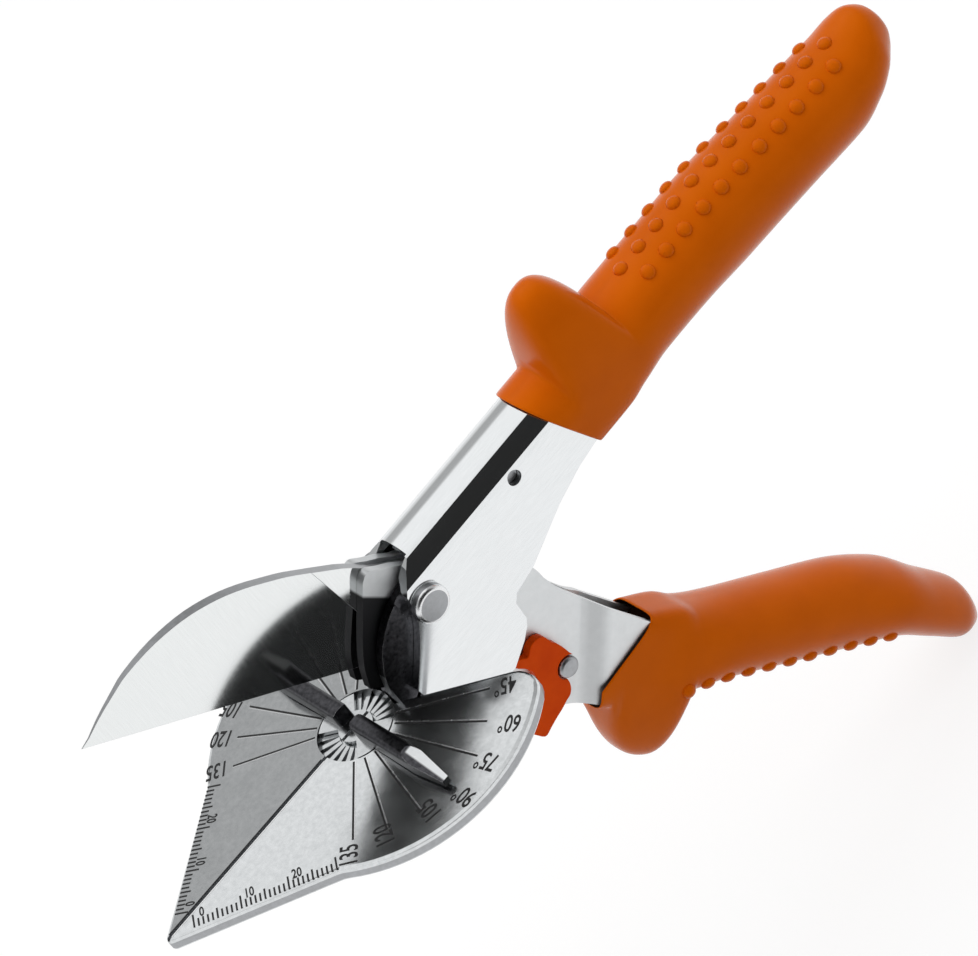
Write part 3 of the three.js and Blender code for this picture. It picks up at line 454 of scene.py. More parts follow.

# %% [markdown]
# The ears and the bars' flanks are the casting's dark skin with a painted dark reflection. The slope at each
# bar's tip is as dark, but for one painted highlight. The fastenings are plain steel, the springs a darker
# wire.

# %% Dark steels
# The two tones of the dark skin, which also stand for a painted dark reflection.
SKIN_DARKER = (0.05, 0.05, 0.055)
SKIN_LIGHTER = (0.11, 0.11, 0.12)
# The colour of the painted highlight on each bar's tip, and where that patch starts.
PAINTED_HIGHLIGHT = (0.80, 0.82, 0.83)
TIP_PATCH_START = (0.0185, 0.0190)
TIP_PATCH_SIDE = (-0.0005, 0.0)


def dark_skin():
    """The casting's dark skin with a painted dark reflection."""
    material, tree, shader, place = finish("dark_skin", (0.09, 0.09, 0.10), metallic=1, roughness=0.3)
    mottle = noise(tree, place, scale=1400)
    colour_by(tree, shader, ramp(tree, mottle, SKIN_DARKER, SKIN_LIGHTER))
    roughness_by(tree, shader, mottle, 0.22, 0.4)
    return material


def tip_skin():
    """A bar's tip: dark skin and painted dark reflection, with a painted highlight patch by the ears."""
    material, tree, shader, place = finish("tip_skin", (0.09, 0.09, 0.10), metallic=1, roughness=0.3)
    start = smooth_band(tree, along_axis(tree, place, (0, 1, 0)), *TIP_PATCH_START)
    side = smooth_band(tree, along_axis(tree, place, (-1, 0, 0)), *TIP_PATCH_SIDE)
    mottle = noise(tree, place, scale=1400)
    skin = ramp(tree, mottle, SKIN_DARKER, SKIN_LIGHTER)
    colour_by(tree, shader, overlaid(tree, blended(tree, side, 0.0, start), skin, PAINTED_HIGHLIGHT))
    roughness_by(tree, shader, mottle, 0.22, 0.4)
    return material


def plain_steel():
    """Bolt, nut, stud, rivets and screw."""
    material, tree, shader, place = finish("plain_steel", (0.42, 0.43, 0.45), metallic=1, roughness=0.35)
    wear = noise(tree, place, scale=900, detail=4, roughness=0.6)
    colour_by(tree, shader, ramp(tree, wear, (0.38, 0.39, 0.40), (0.46, 0.47, 0.49), WORN_STOPS))
    roughness_by(tree, shader, wear, 0.28, 0.5)
    return material


def spring_wire():
    """The return spring and the fence's spring washer."""
    material, tree, shader, place = finish("spring_wire", (0.28, 0.29, 0.31), metallic=1, roughness=0.4)
    roughness_by(tree, shader, noise(tree, place, scale=800), 0.3, 0.5)
    return material


def scale_paint():
    """The filling of the marks and numbers."""
    material, tree, shader, place = finish("scale_paint", (0.012, 0.012, 0.013), metallic=0, roughness=0.5)
    roughness_by(tree, shader, noise(tree, place, scale=1500), 0.4, 0.65)
    return material


ear_skin_and_reflection = dark_skin()
bar_tip = tip_skin()
dull_steel = plain_steel()
wire_steel = spring_wire()
mark_paint = scale_paint()
for coat in (ear_skin_and_reflection, bar_tip, dull_steel, wire_steel, mark_paint):
    print("dark coat", coat.name)

# %% [markdown]
# The plastics are two oranges with a fine moulded grain. Their gloss is low and tinted, because a plain white
# gloss under this large softbox washes the orange out to pink.

# %% Plastic finishes
GRIP_GLOSS = 0.2
GRIP_TINT = (1, 0.4, 0.04, 1)
LATCH_GLOSS = 0.3
LATCH_TINT = (1, 0.3, 0.02, 1)
BORE_GLOSS = 0.1


def gloss(shader, level, tint=None):
    shader.inputs["Specular IOR Level"].default_value = level
    if tint:
        shader.inputs["Specular Tint"].default_value = tint


def moulded_grain(tree, shader, place):
    bumped(tree, shader, noise(tree, place, scale=2500), distance=0.00004, strength=0.25)


def orange_grip():
    """The grips' skin and dots."""
    material, tree, shader, place = finish("orange_grip", (0.72, 0.128, 0.001), metallic=0, roughness=0.22)
    gloss(shader, GRIP_GLOSS, GRIP_TINT)
    cloud = noise(tree, place, scale=90, detail=4)
    colour_by(tree, shader, ramp(tree, cloud, (0.69, 0.120, 0.001), (0.75, 0.136, 0.002)))
    roughness_by(tree, shader, cloud, 0.18, 0.26)
    moulded_grain(tree, shader, place)
    return material


def deep_orange():
    """The latch."""
    material, tree, shader, place = finish("deep_orange", (0.66, 0.048, 0.0), metallic=0, roughness=0.5)
    gloss(shader, LATCH_GLOSS, LATCH_TINT)
    cloud = noise(tree, place, scale=300, detail=4)
    colour_by(tree, shader, ramp(tree, cloud, (0.78, 0.062, 0.0), (0.86, 0.08, 0.001)))
    moulded_grain(tree, shader, place)
    return material


def inner_wall():
    """The bore of a grip: rough plastic, painted dark as the shade deep inside the mouth."""
    material, tree, shader, place = finish("inner_wall", (0.03, 0.008, 0.003), metallic=0, roughness=0.8)
    gloss(shader, BORE_GLOSS)
    roughness_by(tree, shader, noise(tree, place, scale=900), 0.7, 0.95)
    return material


grip_orange = orange_grip()
latch_orange = deep_orange()
shaded_bore = inner_wall()
for coat in (grip_orange, latch_orange, shaded_bore):
    print("plastic", coat.name)

# %% [markdown]
# Every CAD node gets its finish, also those that a rounder copy replaces further down.

# %% Dress the CAD nodes
FINISHES = [
    (sheet_steel, ["upper_handle", "lower_handle"]),
    (cast_plate, ["anvil", "fence"]),
    (blade_polish, ["blade"]),
    (dull_steel, ["fence_washer", "fence_screw", "pivot_bolt", "pivot_bush", "pivot_washer", "pivot_nut",
                  "spring_pin", "blade_rivet_front", "blade_rivet_rear", "latch_stud"]),
    (wire_steel, ["fence_spring", "return_spring"]),
    (grip_orange, ["upper_grip", "lower_grip"]),
    (latch_orange, ["latch"]),
]
for coat, names in FINISHES:
    for name in names:
        node[name].data.materials.clear()
        node[name].data.materials.append(coat)
print(sum(len(names) for _, names in FINISHES), "nodes dressed")

# %% [markdown]
# ## Grips
#
# Each grip is one moulded sleeve of orange plastic: an oval tube whose width and height change along it, a
# broad lobe that rises out of it, a slanting mouth for the steel, and rows of small raised dots. Sculpting
# or lofting would give the form, but a formula keeps it exact and smooth: at each place along the handle and
# each angle round it there is one radius, that of a squared-off ellipse as high as the tube or its lobe.
#
# A ring is (place along the reach, lift of the centre, width, height, power above, power below); the middle
# three are shares of the grip's half width and half height, and the powers square off the two halves of the
# section. The lobe stands at its place behind the pivot, with a length to the front and one to the rear.

# %% Grip sizes
GRIP_WIDE = 10
GRIP_HIGH = 9.8
PIVOT = np.array([-24.4, 0, 14.3])
OPEN_ANGLE = math.radians(38.15)
MOUTH_FADE = 32
LOBE_BLEND = 6
LOBE_SHOWS = 0.6
LOBE_RANGE = 1.2

UPPER_GRIP = {
    "rings": [(0.262, 0.18, 0.88, 0.99, 2.2, 4.9), (0.344, 0.21, 0.89, 0.99, 2.2, 4.6),
              (0.400, 0.25, 0.93, 0.97, 2.2, 3.4), (0.469, 0.27, 1.00, 0.97, 2.2, 2.2),
              (0.560, 0.30, 1.00, 1.00, 2.1, 2.1), (0.650, 0.29, 1.00, 1.09, 2.0, 2.0),
              (0.768, 0.22, 1.00, 1.05, 2.0, 2.0), (0.872, 0.15, 1.00, 1.02, 2.0, 2.0),
              (0.920, 0.23, 0.96, 0.87, 2.0, 2.0), (0.953, 0.38, 0.84, 0.77, 2.0, 2.0),
              (0.975, 0.48, 0.62, 0.69, 2.0, 2.0), (0.994, 0.50, 0.34, 0.40, 2.0, 2.0),
              (0.9995, 0.50, 0.12, 0.12, 2.0, 2.0)],
    "reach": 144.1, "wall": 0.7, "tilt": 0.0,
    "top": (-38.6, 11.2), "foot": (-45.5, -4.9), "front": 0.0,
    "lobe": {"back": 54.4, "front": 8.6, "rear": 9.3, "height": 25.5, "power": 2.23, "fall": 2.4,
             "side": 1},
}
LOWER_GRIP = {
    "rings": [(0.302, -2.77, 0.67, 0.87, 6.0, 7.0), (0.385, -2.84, 0.74, 0.88, 5.0, 6.0),
              (0.453, -2.97, 0.86, 0.91, 2.8, 3.4), (0.536, -3.04, 0.98, 0.88, 2.2, 2.2),
              (0.639, -3.11, 1.00, 0.91, 2.1, 2.1), (0.735, -3.17, 1.00, 0.94, 2.0, 2.0),
              (0.824, -3.32, 1.03, 0.83, 2.0, 2.0), (0.893, -3.69, 0.94, 0.72, 2.0, 2.0),
              (0.951, -4.02, 0.77, 0.66, 2.0, 2.0), (0.975, -4.17, 0.54, 0.46, 2.0, 2.0),
              (0.991, -4.32, 0.30, 0.21, 2.0, 2.0), (0.9985, -4.42, 0.10, 0.08, 2.0, 2.0)],
    "reach": 145.6, "wall": 0.55, "tilt": OPEN_ANGLE,
    "top": (-57.0, -18.9), "foot": (-43.5, -32.5), "front": -44.5,
    "lobe": {"back": 59.0, "front": 12.0, "rear": 8.5, "height": 22.5, "power": 2.8, "fall": 2.16,
             "side": -1},
}
print(len(UPPER_GRIP["rings"]), "and", len(LOWER_GRIP["rings"]), "rings")

# %% [markdown]
# The mouth is a slanting cut through the first section. It moves the points of the first stretch along the
# handle, less and less with their distance from the mouth.

# %% Grip surface


def squared_ellipse(wide, high, power, angle):
    """Radius of a squared-off ellipse: (|cos/wide|^p + |sin/high|^p)^(-1/p)."""
    return (np.abs(np.cos(angle) / wide) ** power + np.abs(np.sin(angle) / high) ** power) ** (-1 / power)


def lobe_height(lobe, x):
    """Height of the lobe over the centre line: height * sqrt(1 - |distance / length|^fall), else nothing."""
    length = np.where(x > -lobe["back"], lobe["front"], lobe["rear"])
    share = np.abs((x + lobe["back"]) / length)
    return lobe["height"] * np.sqrt(np.clip(1 - share ** lobe["fall"], 0, 1))


def mouth_line(grip, angle):
    """Place of the slanting mouth along the handle at each angle round its first section."""
    _, lift, wide, high, above, below = grip["rings"][0]
    power = np.where(np.sin(angle) > 0, above, below)
    radius = squared_ellipse(wide * GRIP_WIDE, high * GRIP_HIGH, power, angle)
    (top, top_height), (foot, foot_height) = grip["top"], grip["foot"]
    slant = (foot - top) / (foot_height - top_height)
    mouth = top + (lift * GRIP_HIGH + radius * np.sin(angle) - top_height) * slant
    return np.minimum(mouth, grip["front"])


def grip_surface(grip, along, angle):
    """Points of the sleeve from its mouth (0) to its closed end (1). The section is a squared-off ellipse;
    where the lobe stands, its half on that side is as high as the lobe: (high^n + lobe^n)^(1/n)."""
    rings = np.array(grip["rings"])
    lobe = grip["lobe"]
    steps = np.arange(len(rings))
    back, lift, wide, high, above, below = (through(steps, rings[:, k], along * steps[-1]) for k in range(6))
    x, centre = -back * grip["reach"], lift * GRIP_HIGH
    start = -rings[0, 0] * grip["reach"]
    x = x + (1 - eased((start - x) / MOUTH_FADE)) * (mouth_line(grip, angle) - start)
    wide, high = wide * GRIP_WIDE, high * GRIP_HIGH
    tall = np.where(np.sin(angle) * lobe["side"] > 0, lobe_height(lobe, x), 0)
    weight = eased((tall / high - LOBE_SHOWS) / LOBE_RANGE)
    high = (high ** LOBE_BLEND + tall ** LOBE_BLEND) ** (1 / LOBE_BLEND)
    power = np.where(np.sin(angle) > 0, above, below)
    power = power + (lobe["power"] - power) * weight
    radius = squared_ellipse(wide, high, power, angle)
    return np.stack([x, radius * np.cos(angle), centre + radius * np.sin(angle)], -1)


def settled(points, tilt):
    """Handle coordinates into the frame: turned about the pivot by the handle's opening, then moved to it."""
    x, y, z = np.moveaxis(np.asarray(points, float), -1, 0)
    cos, sin = math.cos(tilt), math.sin(tilt)
    return np.stack([x * cos - z * sin, y, x * sin + z * cos], -1) + PIVOT


print("grip formula ready")

# %% [markdown]
# The sleeve's wall turns in at the mouth over a small rounded lip and runs a little way inside, where it has
# a painted shade. One grid of rows holds all of it: the bore, the lip and the skin.

# %% Grip skins
GRIP_ROWS = 330
GRIP_COLUMNS = 200
BORE_DEPTH = 4
LIP_DEPTH = 0.5
LIP_ROUND = 0.25
LIP_PROUD = 0.06
LIP_INSET = 0.22
RIM_INSET = 0.06


def make_grip(name, grip, body):
    """A closed sleeve over one handle, in place of the grip's plain solid."""
    along, angle = np.meshgrid(np.linspace(0, 1, GRIP_ROWS),
                               2 * np.pi * np.arange(GRIP_COLUMNS) / GRIP_COLUMNS, indexing="ij")
    skin = grip_surface(grip, along, angle)
    rim = skin[0]
    inwards = unit((rim - rim.mean(axis=0)) * (0, 1, 1))
    wall = grip["wall"]
    lip = [(-BORE_DEPTH, wall), (-LIP_DEPTH, wall), (0, wall - LIP_ROUND), (LIP_PROUD, LIP_INSET)]
    edge = [rim - inwards * inset + np.array([shift, 0, 0]) for shift, inset in lip]
    points = np.concatenate([np.stack(edge), skin])
    points[len(edge)] = rim - inwards * RIM_INSET
    grid = settled(points, grip["tilt"])
    rows = len(points)
    ends = [grid[0].mean(axis=0), grid[-1].mean(axis=0)]
    item = new_mesh(name, np.concatenate([grid.reshape(-1, 3), ends]), tube_faces(rows, GRIP_COLUMNS))
    face_outwards(item)
    item.data.materials.append(grip_orange)
    item.data.materials.append(shaded_bore)
    # The bore's rows and the cap deep inside take the painted shade.
    inner = np.zeros(len(item.data.polygons), np.int32)
    inner[:2 * GRIP_COLUMNS] = 1
    inner[(rows - 1) * GRIP_COLUMNS:rows * GRIP_COLUMNS] = 1
    item.data.polygons.foreach_set("material_index", inner)
    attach(item, body)
    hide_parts(name.replace("_skin", ""))
    print(name, len(item.data.polygons), "faces")


make_grip("upper_grip_skin", UPPER_GRIP, "upper")
make_grip("lower_grip_skin", LOWER_GRIP, "lower")

# %% [markdown]
# The dots stand in straight rows at equal steps. Each is a low dome, half an ellipsoid on a short root that
# is sunk in the skin, and one array of points makes all of a grip's dots. A row is (angle round the grip in
# degrees, place of its first dot, place of its last dot, number of dots).

# %% Grip dots
DOT_RADIUS = 1.55
DOT_HEIGHT = 0.95
DOT_ROOT = 0.5
DOT_SIDES = 20
DOT_RINGS = 5
SEARCH_STEPS = 800
SEARCH_REACH = 3
SEARCH_FAN = 0.02
UPPER_DOTS = [(56.5, -74.5, -129.0, 11), (87.0, -72.1, -131.9, 12), (121.0, -74.5, -129.0, 11)]
LOWER_DOTS = [(-40.0, -65.0, -117.5, 11), (-90.0, -66.5, -124.0, 12), (-140.0, -65.0, -117.5, 11)]


def dot_places(grip, rows):
    """A point on the sleeve and the skin's normal there for each dot. The normal is the cross product of the
    steps along and round the sleeve to the point's neighbours, turned away from the sleeve's middle."""
    along = np.linspace(0, 1, SEARCH_STEPS)
    places = []
    for degrees, first, last, count in rows:
        fan = math.radians(degrees) + np.array([-SEARCH_FAN, 0, SEARCH_FAN])
        line = grip_surface(grip, *np.meshgrid(along, fan, indexing="ij"))
        pick = np.array([np.argmin(np.abs(line[:, 1, 0] - x)) for x in np.linspace(first, last, count)])
        lengthwise = line[pick + SEARCH_REACH, 1] - line[pick - SEARCH_REACH, 1]
        normal = unit(np.cross(lengthwise, line[pick, 2] - line[pick, 0]))
        spoke = line[pick, 1] * (0, 1, 1)
        normal *= np.sign(np.sum(normal * spoke, axis=-1, keepdims=True))
        places.append(np.stack([line[pick, 1], normal], 1))
    return np.concatenate(places)


def dome_points(places):
    """Rings of each dome: radius r cos(t) at height h sin(t) over its place, below them the sunk root."""
    centre, normal = places[:, 0], places[:, 1]
    first = unit(np.cross(normal, (1, 0, 0)))
    second = np.cross(normal, first)
    lift = np.linspace(0, np.pi / 2, DOT_RINGS + 1)[:-1]
    radius = np.concatenate([[DOT_RADIUS], DOT_RADIUS * np.cos(lift)])[:, None, None]
    height = np.concatenate([[-DOT_ROOT], DOT_HEIGHT * np.sin(lift)])[:, None, None]
    turn = 2 * np.pi * np.arange(DOT_SIDES) / DOT_SIDES
    circle = np.cos(turn)[:, None] * first[:, None] + np.sin(turn)[:, None] * second[:, None]
    rings = centre[:, None, None] + radius * circle[:, None] + height * normal[:, None, None]
    caps = centre[:, None] + np.array([-DOT_ROOT, DOT_HEIGHT])[:, None] * normal[:, None]
    return np.concatenate([rings.reshape(len(places), -1, 3), caps], axis=1)


def make_dots(name, grip, rows, body):
    """All dots of a grip as one piece."""
    points = dome_points(dot_places(grip, rows))
    count, corners = points.shape[:2]
    dome = tube_faces(DOT_RINGS + 1, DOT_SIDES)
    faces = [tuple(corner + dot * corners for corner in face) for dot in range(count) for face in dome]
    item = new_mesh(name, settled(points.reshape(-1, 3), grip["tilt"]), faces)
    face_outwards(item)
    item.data.materials.append(grip_orange)
    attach(item, body)
    print(name, count, "dots")


make_dots("upper_grip_dots", UPPER_GRIP, UPPER_DOTS, "upper")
make_dots("lower_grip_dots", LOWER_GRIP, LOWER_DOTS, "lower")

# %% [markdown]
# ## Steel pieces
#
# The CAD solids have the right forms but hard edges. Each is copied as it stands, its coincident corners are
# joined and its flat triangles merged, and a Bevel modifier rounds the edges, so that they catch the light.
# A Weighted Normal modifier then keeps the flats flat to the eye.

# %% Node copies
JOIN = 2e-6
FLAT = math.radians(1.2)
EDGE_ANGLE = math.radians(33)
BEVEL_STEPS = 2
FACE_WEIGHT = 100


def node_copy(name, body, coats, merge=True):
    """A smooth copy of a CAD node, in the frame's own coordinates, that takes the node's place."""
    mesh = bmesh.new()
    mesh.from_mesh(node[name].data)
    mesh.transform(node[name].matrix_world)
    bmesh.ops.remove_doubles(mesh, verts=mesh.verts, dist=JOIN)
    if merge:
        bmesh.ops.dissolve_limit(mesh, angle_limit=FLAT, verts=mesh.verts, edges=mesh.edges)
    bmesh.ops.recalc_face_normals(mesh, faces=mesh.faces)
    data = bpy.data.meshes.new(name + "_form")
    mesh.to_mesh(data)
    mesh.free()
    data.shade_smooth()
    for coat in coats:
        data.materials.append(coat)
    item = bpy.data.objects.new(name + "_form", data)
    bpy.context.scene.collection.objects.link(item)
    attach(item, body)
    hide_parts(name)
    print(item.name, len(data.polygons), "faces")
    return item


def paint(data, chosen_by):
    """Gives each face the coat that chosen_by picks from the faces' centres (mm) and normals."""
    centre = np.empty(len(data.polygons) * 3)
    normal = np.empty(len(data.polygons) * 3)
    data.polygons.foreach_get("center", centre)
    data.polygons.foreach_get("normal", normal)
    chosen = chosen_by(centre.reshape(-1, 3) / MM, normal.reshape(-1, 3))
    data.polygons.foreach_set("material_index", chosen.astype(np.int32))


def rounded_copy(name, body, coats, width, chosen_by=None, edge_coat=-1):
    """A node's copy with edges rounded by that width in mm; the rounding may have a coat of its own."""
    item = node_copy(name, body, coats)
    item.data.set_sharp_from_angle(angle=EDGE_ANGLE)
    if chosen_by:
        paint(item.data, chosen_by)
    bevel = item.modifiers.new("edges", "BEVEL")
    bevel.width = width * MM
    bevel.segments = BEVEL_STEPS
    bevel.limit_method = "ANGLE"
    bevel.angle_limit = EDGE_ANGLE
    bevel.use_clamp_overlap = True
    bevel.harden_normals = True
    bevel.material = edge_coat
    even = item.modifiers.new("even", "WEIGHTED_NORMAL")
    even.weight = FACE_WEIGHT
    even.keep_sharp = True


print("copy helpers ready")

# %% [markdown]
# The casting's ears and the fence's bars have a dark skin with a painted dark reflection, the table's upright
# sides are dull, and so is the narrow back of the blade. Each of the three functions picks a coat's number
# for every face of its piece.

# %% Steel pieces
EAR_FRONT = -9.0
EAR_FOOT = 1.2
TIP_START = 15.0
HUB_TOP = 0.35
UPRIGHT = 0.3
SLOPING = 0.5


def on_ear(centre, normal):
    """1 for faces of the casting's ears, which stand over the table behind the hub; 3 for upright sides."""
    ear = (centre[:, 0] < EAR_FRONT) & (centre[:, 2] > EAR_FOOT)
    return np.where(ear, 1, np.where(np.abs(normal[:, 2]) < UPRIGHT, 3, 0))


def on_bar(centre, normal):
    """1 for faces of the fence's two raised bars, 3 for the slopes at their tips."""
    slope = (np.abs(centre[:, 1]) > TIP_START) & (normal[:, 2] > SLOPING)
    return np.where(centre[:, 2] > HUB_TOP, np.where(slope, 3, 1), 0)


def on_rim(_, normal):
    """1 for the narrow faces of a sheet that stands upright along X."""
    return np.abs(normal[:, 1]) < UPRIGHT


bpy.context.view_layer.update()
rounded_copy("anvil", "upper", [cast_plate, ear_skin_and_reflection, bright_edge, dull_steel], 0.25, on_ear, 2)
rounded_copy("fence", "fence", [cast_plate, ear_skin_and_reflection, bright_edge, bar_tip], 0.15, on_bar, 2)
# The handles' rounded edges take the dull steel: a painted dark line of shade where one sheet's edge lies
# over the other.
rounded_copy("upper_handle", "upper", [sheet_steel, dull_steel], 0.25, edge_coat=1)
rounded_copy("lower_handle", "lower", [satin_steel, dull_steel], 0.2, edge_coat=1)
rounded_copy("blade", "lower", [blade_polish, dull_steel], 0.1, on_rim, 1)
rounded_copy("latch", "latch", [latch_orange], 0.4)
rounded_copy("latch_stud", "lower", [dull_steel], 0.25)
rounded_copy("pivot_bolt", "upper", [dull_steel, bright_edge], 0.35, edge_coat=1)
rounded_copy("pivot_nut", "upper", [dull_steel], 0.2)

# %% [markdown]
# The return spring sits between the cheeks. Its lower leg is pressed up as the handles close. A smooth copy
# of the node, with a mesh of its own, rides with the upper handle.

# %% Return spring
spring_form = node_copy("return_spring", "upper", [wire_steel], merge=False)
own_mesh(spring_form)

# %% [markdown]
# ## Angle scale
#
# The marks are engraved in the table and filled dark. Each is a thin closed strip that lies on the sloping
# table, whose height is RIDGE - |y| tan 4.2 degrees. A mark for the angle a points along 180 - a from the
# centre, and the millimetre ruler runs back from the tip along both straight edges. The edge of an engraved
# line catches the light, so a thin bright strip, a painted highlight, lies beside each long mark.

# %% Marks
RIDGE = 0.5
TABLE_SLOPE = math.tan(math.radians(4.2))
MARK_LIFT = 0.03
MARK_SINK = 0.05
MARK_WIDE = 0.42
TICK_WIDE = 0.38
MARK_START = 8.7
EDGE_OFFSET = 0.36
EDGE_WIDE = 0.24
NEAR_MARKS = [(45, 26.6), (60, 27.1), (75, 27.7), (90, 29.0), (105, 29.6), (120, 28.6), (135, 28.2)]
FAR_MARKS = [(45, 27.0), (60, 27.5), (75, 28.1), (90, 27.5), (105, 27.0), (120, 27.0), (135, 27.0)]
RIDGE_LINE = ((9.2, -0.52), (53.4, -0.52))
RIDGE_GAP = 0.98
RIDGE_WIDE = 0.28
RULER_START = np.array([49.5, 3.2])
RULER_END = np.array([25.2, 20.7])
RULER_MM = 30
RULER_ALONG = unit(RULER_END - RULER_START)
RULER_INWARDS = np.array([-RULER_ALONG[1], RULER_ALONG[0]])
LONG_TICK = 3.0
MIDDLE_TICK = 2.4
SHORT_TICK = 1.8


def table_top(y):
    """Height of the table's surface over the frame's origin."""
    return RIDGE - np.abs(y) * TABLE_SLOPE


def sideways(starts, ends):
    """The unit vector a quarter turn to the left of each line in plan."""
    run = unit(ends - starts)
    return np.stack([-run[:, 1], run[:, 0]], -1)


def strips(starts, ends, wide):
    """A thin closed strip on the table for each pair of plan points: eight corners, six faces."""
    side = sideways(starts, ends) * np.broadcast_to(wide, len(starts))[:, None] / 2
    plan = np.stack([starts - side, ends - side, ends + side, starts + side], 1)
    top = np.concatenate([plan, (table_top(plan[..., 1]) + MARK_LIFT)[..., None]], -1)
    foot = top - (0, 0, MARK_LIFT + MARK_SINK)
    points = np.concatenate([foot, top], 1)
    shape = np.array([(3, 2, 1, 0), (4, 5, 6, 7), (0, 1, 5, 4), (1, 2, 6, 5), (2, 3, 7, 6), (3, 0, 4, 7)])
    faces = (shape + 8 * np.arange(len(points))[:, None, None]).reshape(-1, 4)
    return points.reshape(-1, 3), faces.tolist()


def rays(marks, side):
    """Start and end of each radial mark on one half of the table."""
    angle = np.radians([mark[0] for mark in marks])
    way = np.stack([np.cos(angle), side * np.sin(angle)], -1)
    return way * MARK_START, way * np.array([mark[1] for mark in marks])[:, None]


def ruler(side):
    """Start and end of the ruler's ticks on one half: long each ten, middling each five."""
    count = np.arange(RULER_MM + 1)
    edge = RULER_START + (RULER_END - RULER_START) * (count / RULER_MM)[:, None]
    reach = np.where(count % 10 == 0, LONG_TICK, np.where(count % 5 == 0, MIDDLE_TICK, SHORT_TICK))
    mirror = np.array([1, side])
    return edge * mirror, (edge + RULER_INWARDS * reach[:, None]) * mirror


def flat_piece(name, shape, coat):
    """A piece of the scale, which rides with the table."""
    item = new_mesh(name, *shape, smooth=False)
    item.data.materials.append(coat)
    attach(item, "upper")
    return item


line_groups = [rays(NEAR_MARKS, 1), rays(FAR_MARKS, -1), (np.array(RIDGE_LINE[:1]), np.array(RIDGE_LINE[1:]))]
tick_groups = [ruler(1), ruler(-1)]
starts, ends = (np.concatenate([group[k] for group in line_groups + tick_groups]) for k in range(2))
lines = sum(len(group[0]) for group in line_groups)
wides = np.concatenate([np.full(lines - 1, MARK_WIDE), [RIDGE_WIDE], np.full(len(starts) - lines, TICK_WIDE)])
offset = np.append(np.full(lines - 1, EDGE_OFFSET), RIDGE_GAP)[:, None]
beside = sideways(starts[:lines], ends[:lines]) * offset
glints = strips(starts[:lines] + beside, ends[:lines] + beside, EDGE_WIDE)
# The bright strips beside the long marks are painted highlights.
face_outwards(flat_piece("scale_mark_glints", glints, bright_edge))
face_outwards(flat_piece("scale_marks", strips(starts, ends, wides), mark_paint))
print(len(starts), "marks")

# %% [markdown]
# The numbers are outlines of a plain typeface, made into meshes and laid down one by one. On the near half
# they read inwards, on the far half outwards, so that they stand upright for whoever turns the tool.

# %% Numbers
NUMBER_SIZE = 5.4
NUMBER_SQUEEZE = 0.62
NUMBER_THICK = 0.04
NUMBER_BOLD = 0.06
NUMBER_STEPS = 3
RULER_SIZE = 3.0
RULER_SQUEEZE = 0.7
RULER_INSET = 2.9
RULER_AFTER = 1.9
NEAR_NUMBERS = [("135", 21.6, 20.7), ("120", 14.7, 24.0), ("105", 6.0, 28.4), ("90°", 0.0, 32.5),
                ("75°", -7.9, 31.0), ("60°", -16.4, 29.2), ("45°", -22.0, 22.2)]
FAR_NUMBERS = [("105", 9.4, -30.9), ("120", 15.5, -27.2), ("135", 21.4, -22.0), ("90°", 0.0, -32.0),
               ("75°", -8.2, -30.6), ("60°", -15.5, -27.2), ("45°", -22.0, -22.2)]


def glyphs(text, size):
    """Corners and faces of a word in the default typeface, centred on the origin, as a thin solid."""
    curve = bpy.data.curves.new("word", "FONT")
    curve.body = text
    curve.size = size
    curve.align_x = "CENTER"
    curve.align_y = "CENTER"
    curve.extrude = NUMBER_THICK
    curve.offset = NUMBER_BOLD
    curve.resolution_u = NUMBER_STEPS
    holder = bpy.data.objects.new("word", curve)
    bpy.context.scene.collection.objects.link(holder)
    view = bpy.context.evaluated_depsgraph_get()
    mesh = bpy.data.meshes.new_from_object(holder.evaluated_get(view))
    points = np.empty(len(mesh.vertices) * 3)
    mesh.vertices.foreach_get("co", points)
    faces = [tuple(face.vertices) for face in mesh.polygons]
    bpy.data.objects.remove(holder)
    bpy.data.curves.remove(curve)
    bpy.data.meshes.remove(mesh)
    return points.reshape(-1, 3), faces


def laid(text, size, squeeze, spot, way):
    """A word on the table round a plan point, its line running along the unit vector way."""
    points, faces = glyphs(text, size)
    across = np.array([-way[1], way[0]])
    plan = spot + points[:, :1] * squeeze * way + points[:, 1:2] * across
    height = table_top(plan[:, 1]) + points[:, 2]
    return np.concatenate([plan, height[:, None]], -1), faces


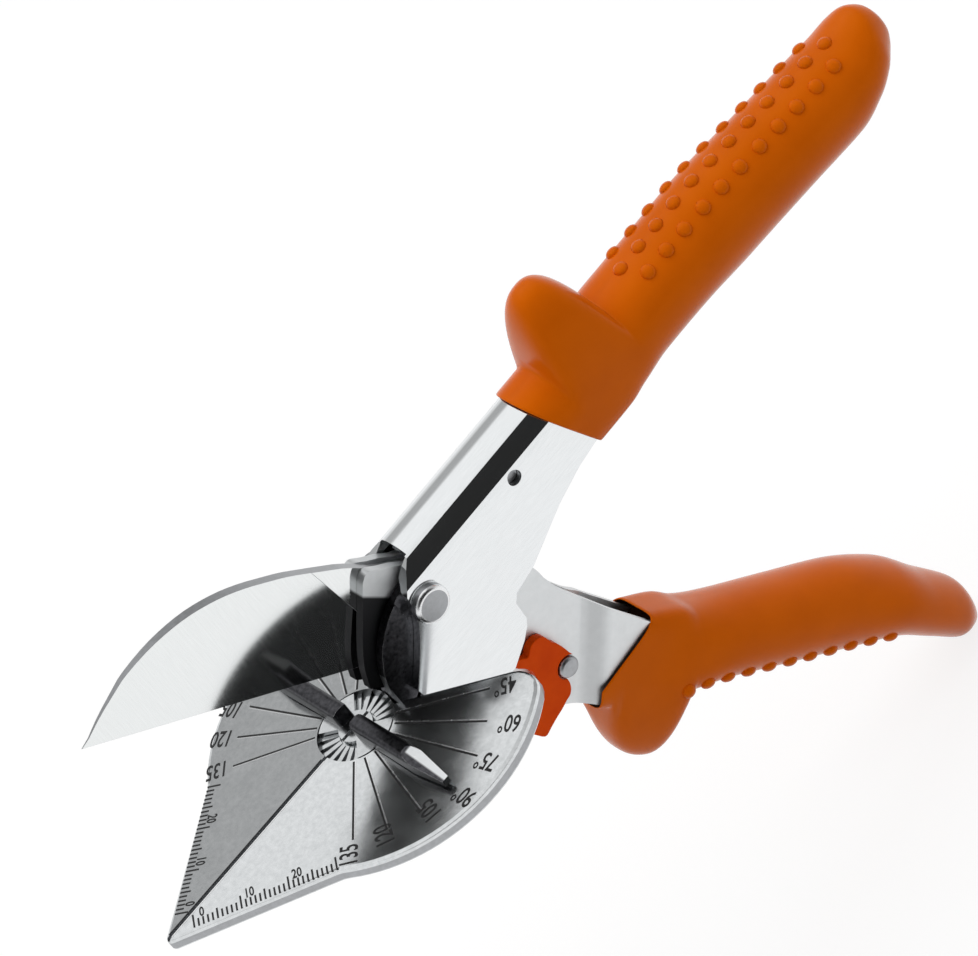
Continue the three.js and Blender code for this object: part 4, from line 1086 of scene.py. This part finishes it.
words = []
for labels, side in ((NEAR_NUMBERS, -1), (FAR_NUMBERS, 1)):
    for label, x, y in labels:
        spot = np.array([x, y])
        words.append(laid(label, NUMBER_SIZE, NUMBER_SQUEEZE, spot, side * unit(spot)))
for tens in range(0, RULER_MM, 10):
    spot = RULER_START + RULER_ALONG * (tens + RULER_AFTER) + RULER_INWARDS * RULER_INSET
    for mirror, way in (((1, 1), RULER_ALONG), ((1, -1), RULER_ALONG * (-1, 1))):
        words.append(laid(str(tens), RULER_SIZE, RULER_SQUEEZE, spot * mirror, way))
shift = 0
points, faces = [], []
for corners, word_faces in words:
    points.append(corners)
    faces += [tuple(index + shift for index in polygon) for polygon in word_faces]
    shift += len(corners)
flat_piece("scale_numbers", (np.concatenate(points), faces), mark_paint)
print(len(words), "numbers", len(faces), "faces")

# %% [markdown]
# ## Floor
#
# A plain pale floor below the tool. It keeps the tool's soft shadow, and more than half of what the camera
# and the metal see of it is its own white, so that the ground stays white without more light on the tool.

# %% Floor
FLOOR_REACH = 2500
FLOOR_DROP = 0.5
FLOOR_GREY = (0.6, 0.6, 0.6)
FLOOR_GLOW = 1.35
GLOW_SHARE = 0.6


def pale_floor():
    """A diffuse grey that glows white for camera, mirrored and passing rays only."""
    material, tree, shader, _ = finish("pale_floor", FLOOR_GREY, metallic=0, roughness=0.9)
    rays = tree.nodes.new("ShaderNodeLightPath")
    seen = rays.outputs["Is Camera Ray"]
    for kind in ("Is Glossy Ray", "Is Transmission Ray"):
        either = tree.nodes.new("ShaderNodeMath")
        either.operation = "MAXIMUM"
        link(tree, seen, either.inputs[0])
        link(tree, rays.outputs[kind], either.inputs[1])
        seen = either.outputs["Value"]
    glow = tree.nodes.new("ShaderNodeEmission")
    glow.inputs["Strength"].default_value = FLOOR_GLOW
    mix = tree.nodes.new("ShaderNodeMixShader")
    link(tree, spread(tree, seen, 0, GLOW_SHARE), mix.inputs["Fac"])
    link(tree, shader.outputs["BSDF"], mix.inputs[1])
    link(tree, glow.outputs["Emission"], mix.inputs[2])
    link(tree, mix.outputs["Shader"], tree.nodes["Material Output"].inputs["Surface"])
    return material


floor_height = cad_box[0][2] / MM - FLOOR_DROP
corners = [(-1, -1), (1, -1), (1, 1), (-1, 1)]
floor = new_mesh("floor", [(FLOOR_REACH * x, FLOOR_REACH * y, floor_height) for x, y in corners],
                 [(0, 1, 2, 3)], smooth=False)
floor.data.materials.append(pale_floor())
print("floor at", round(floor_height, 2), "mm")
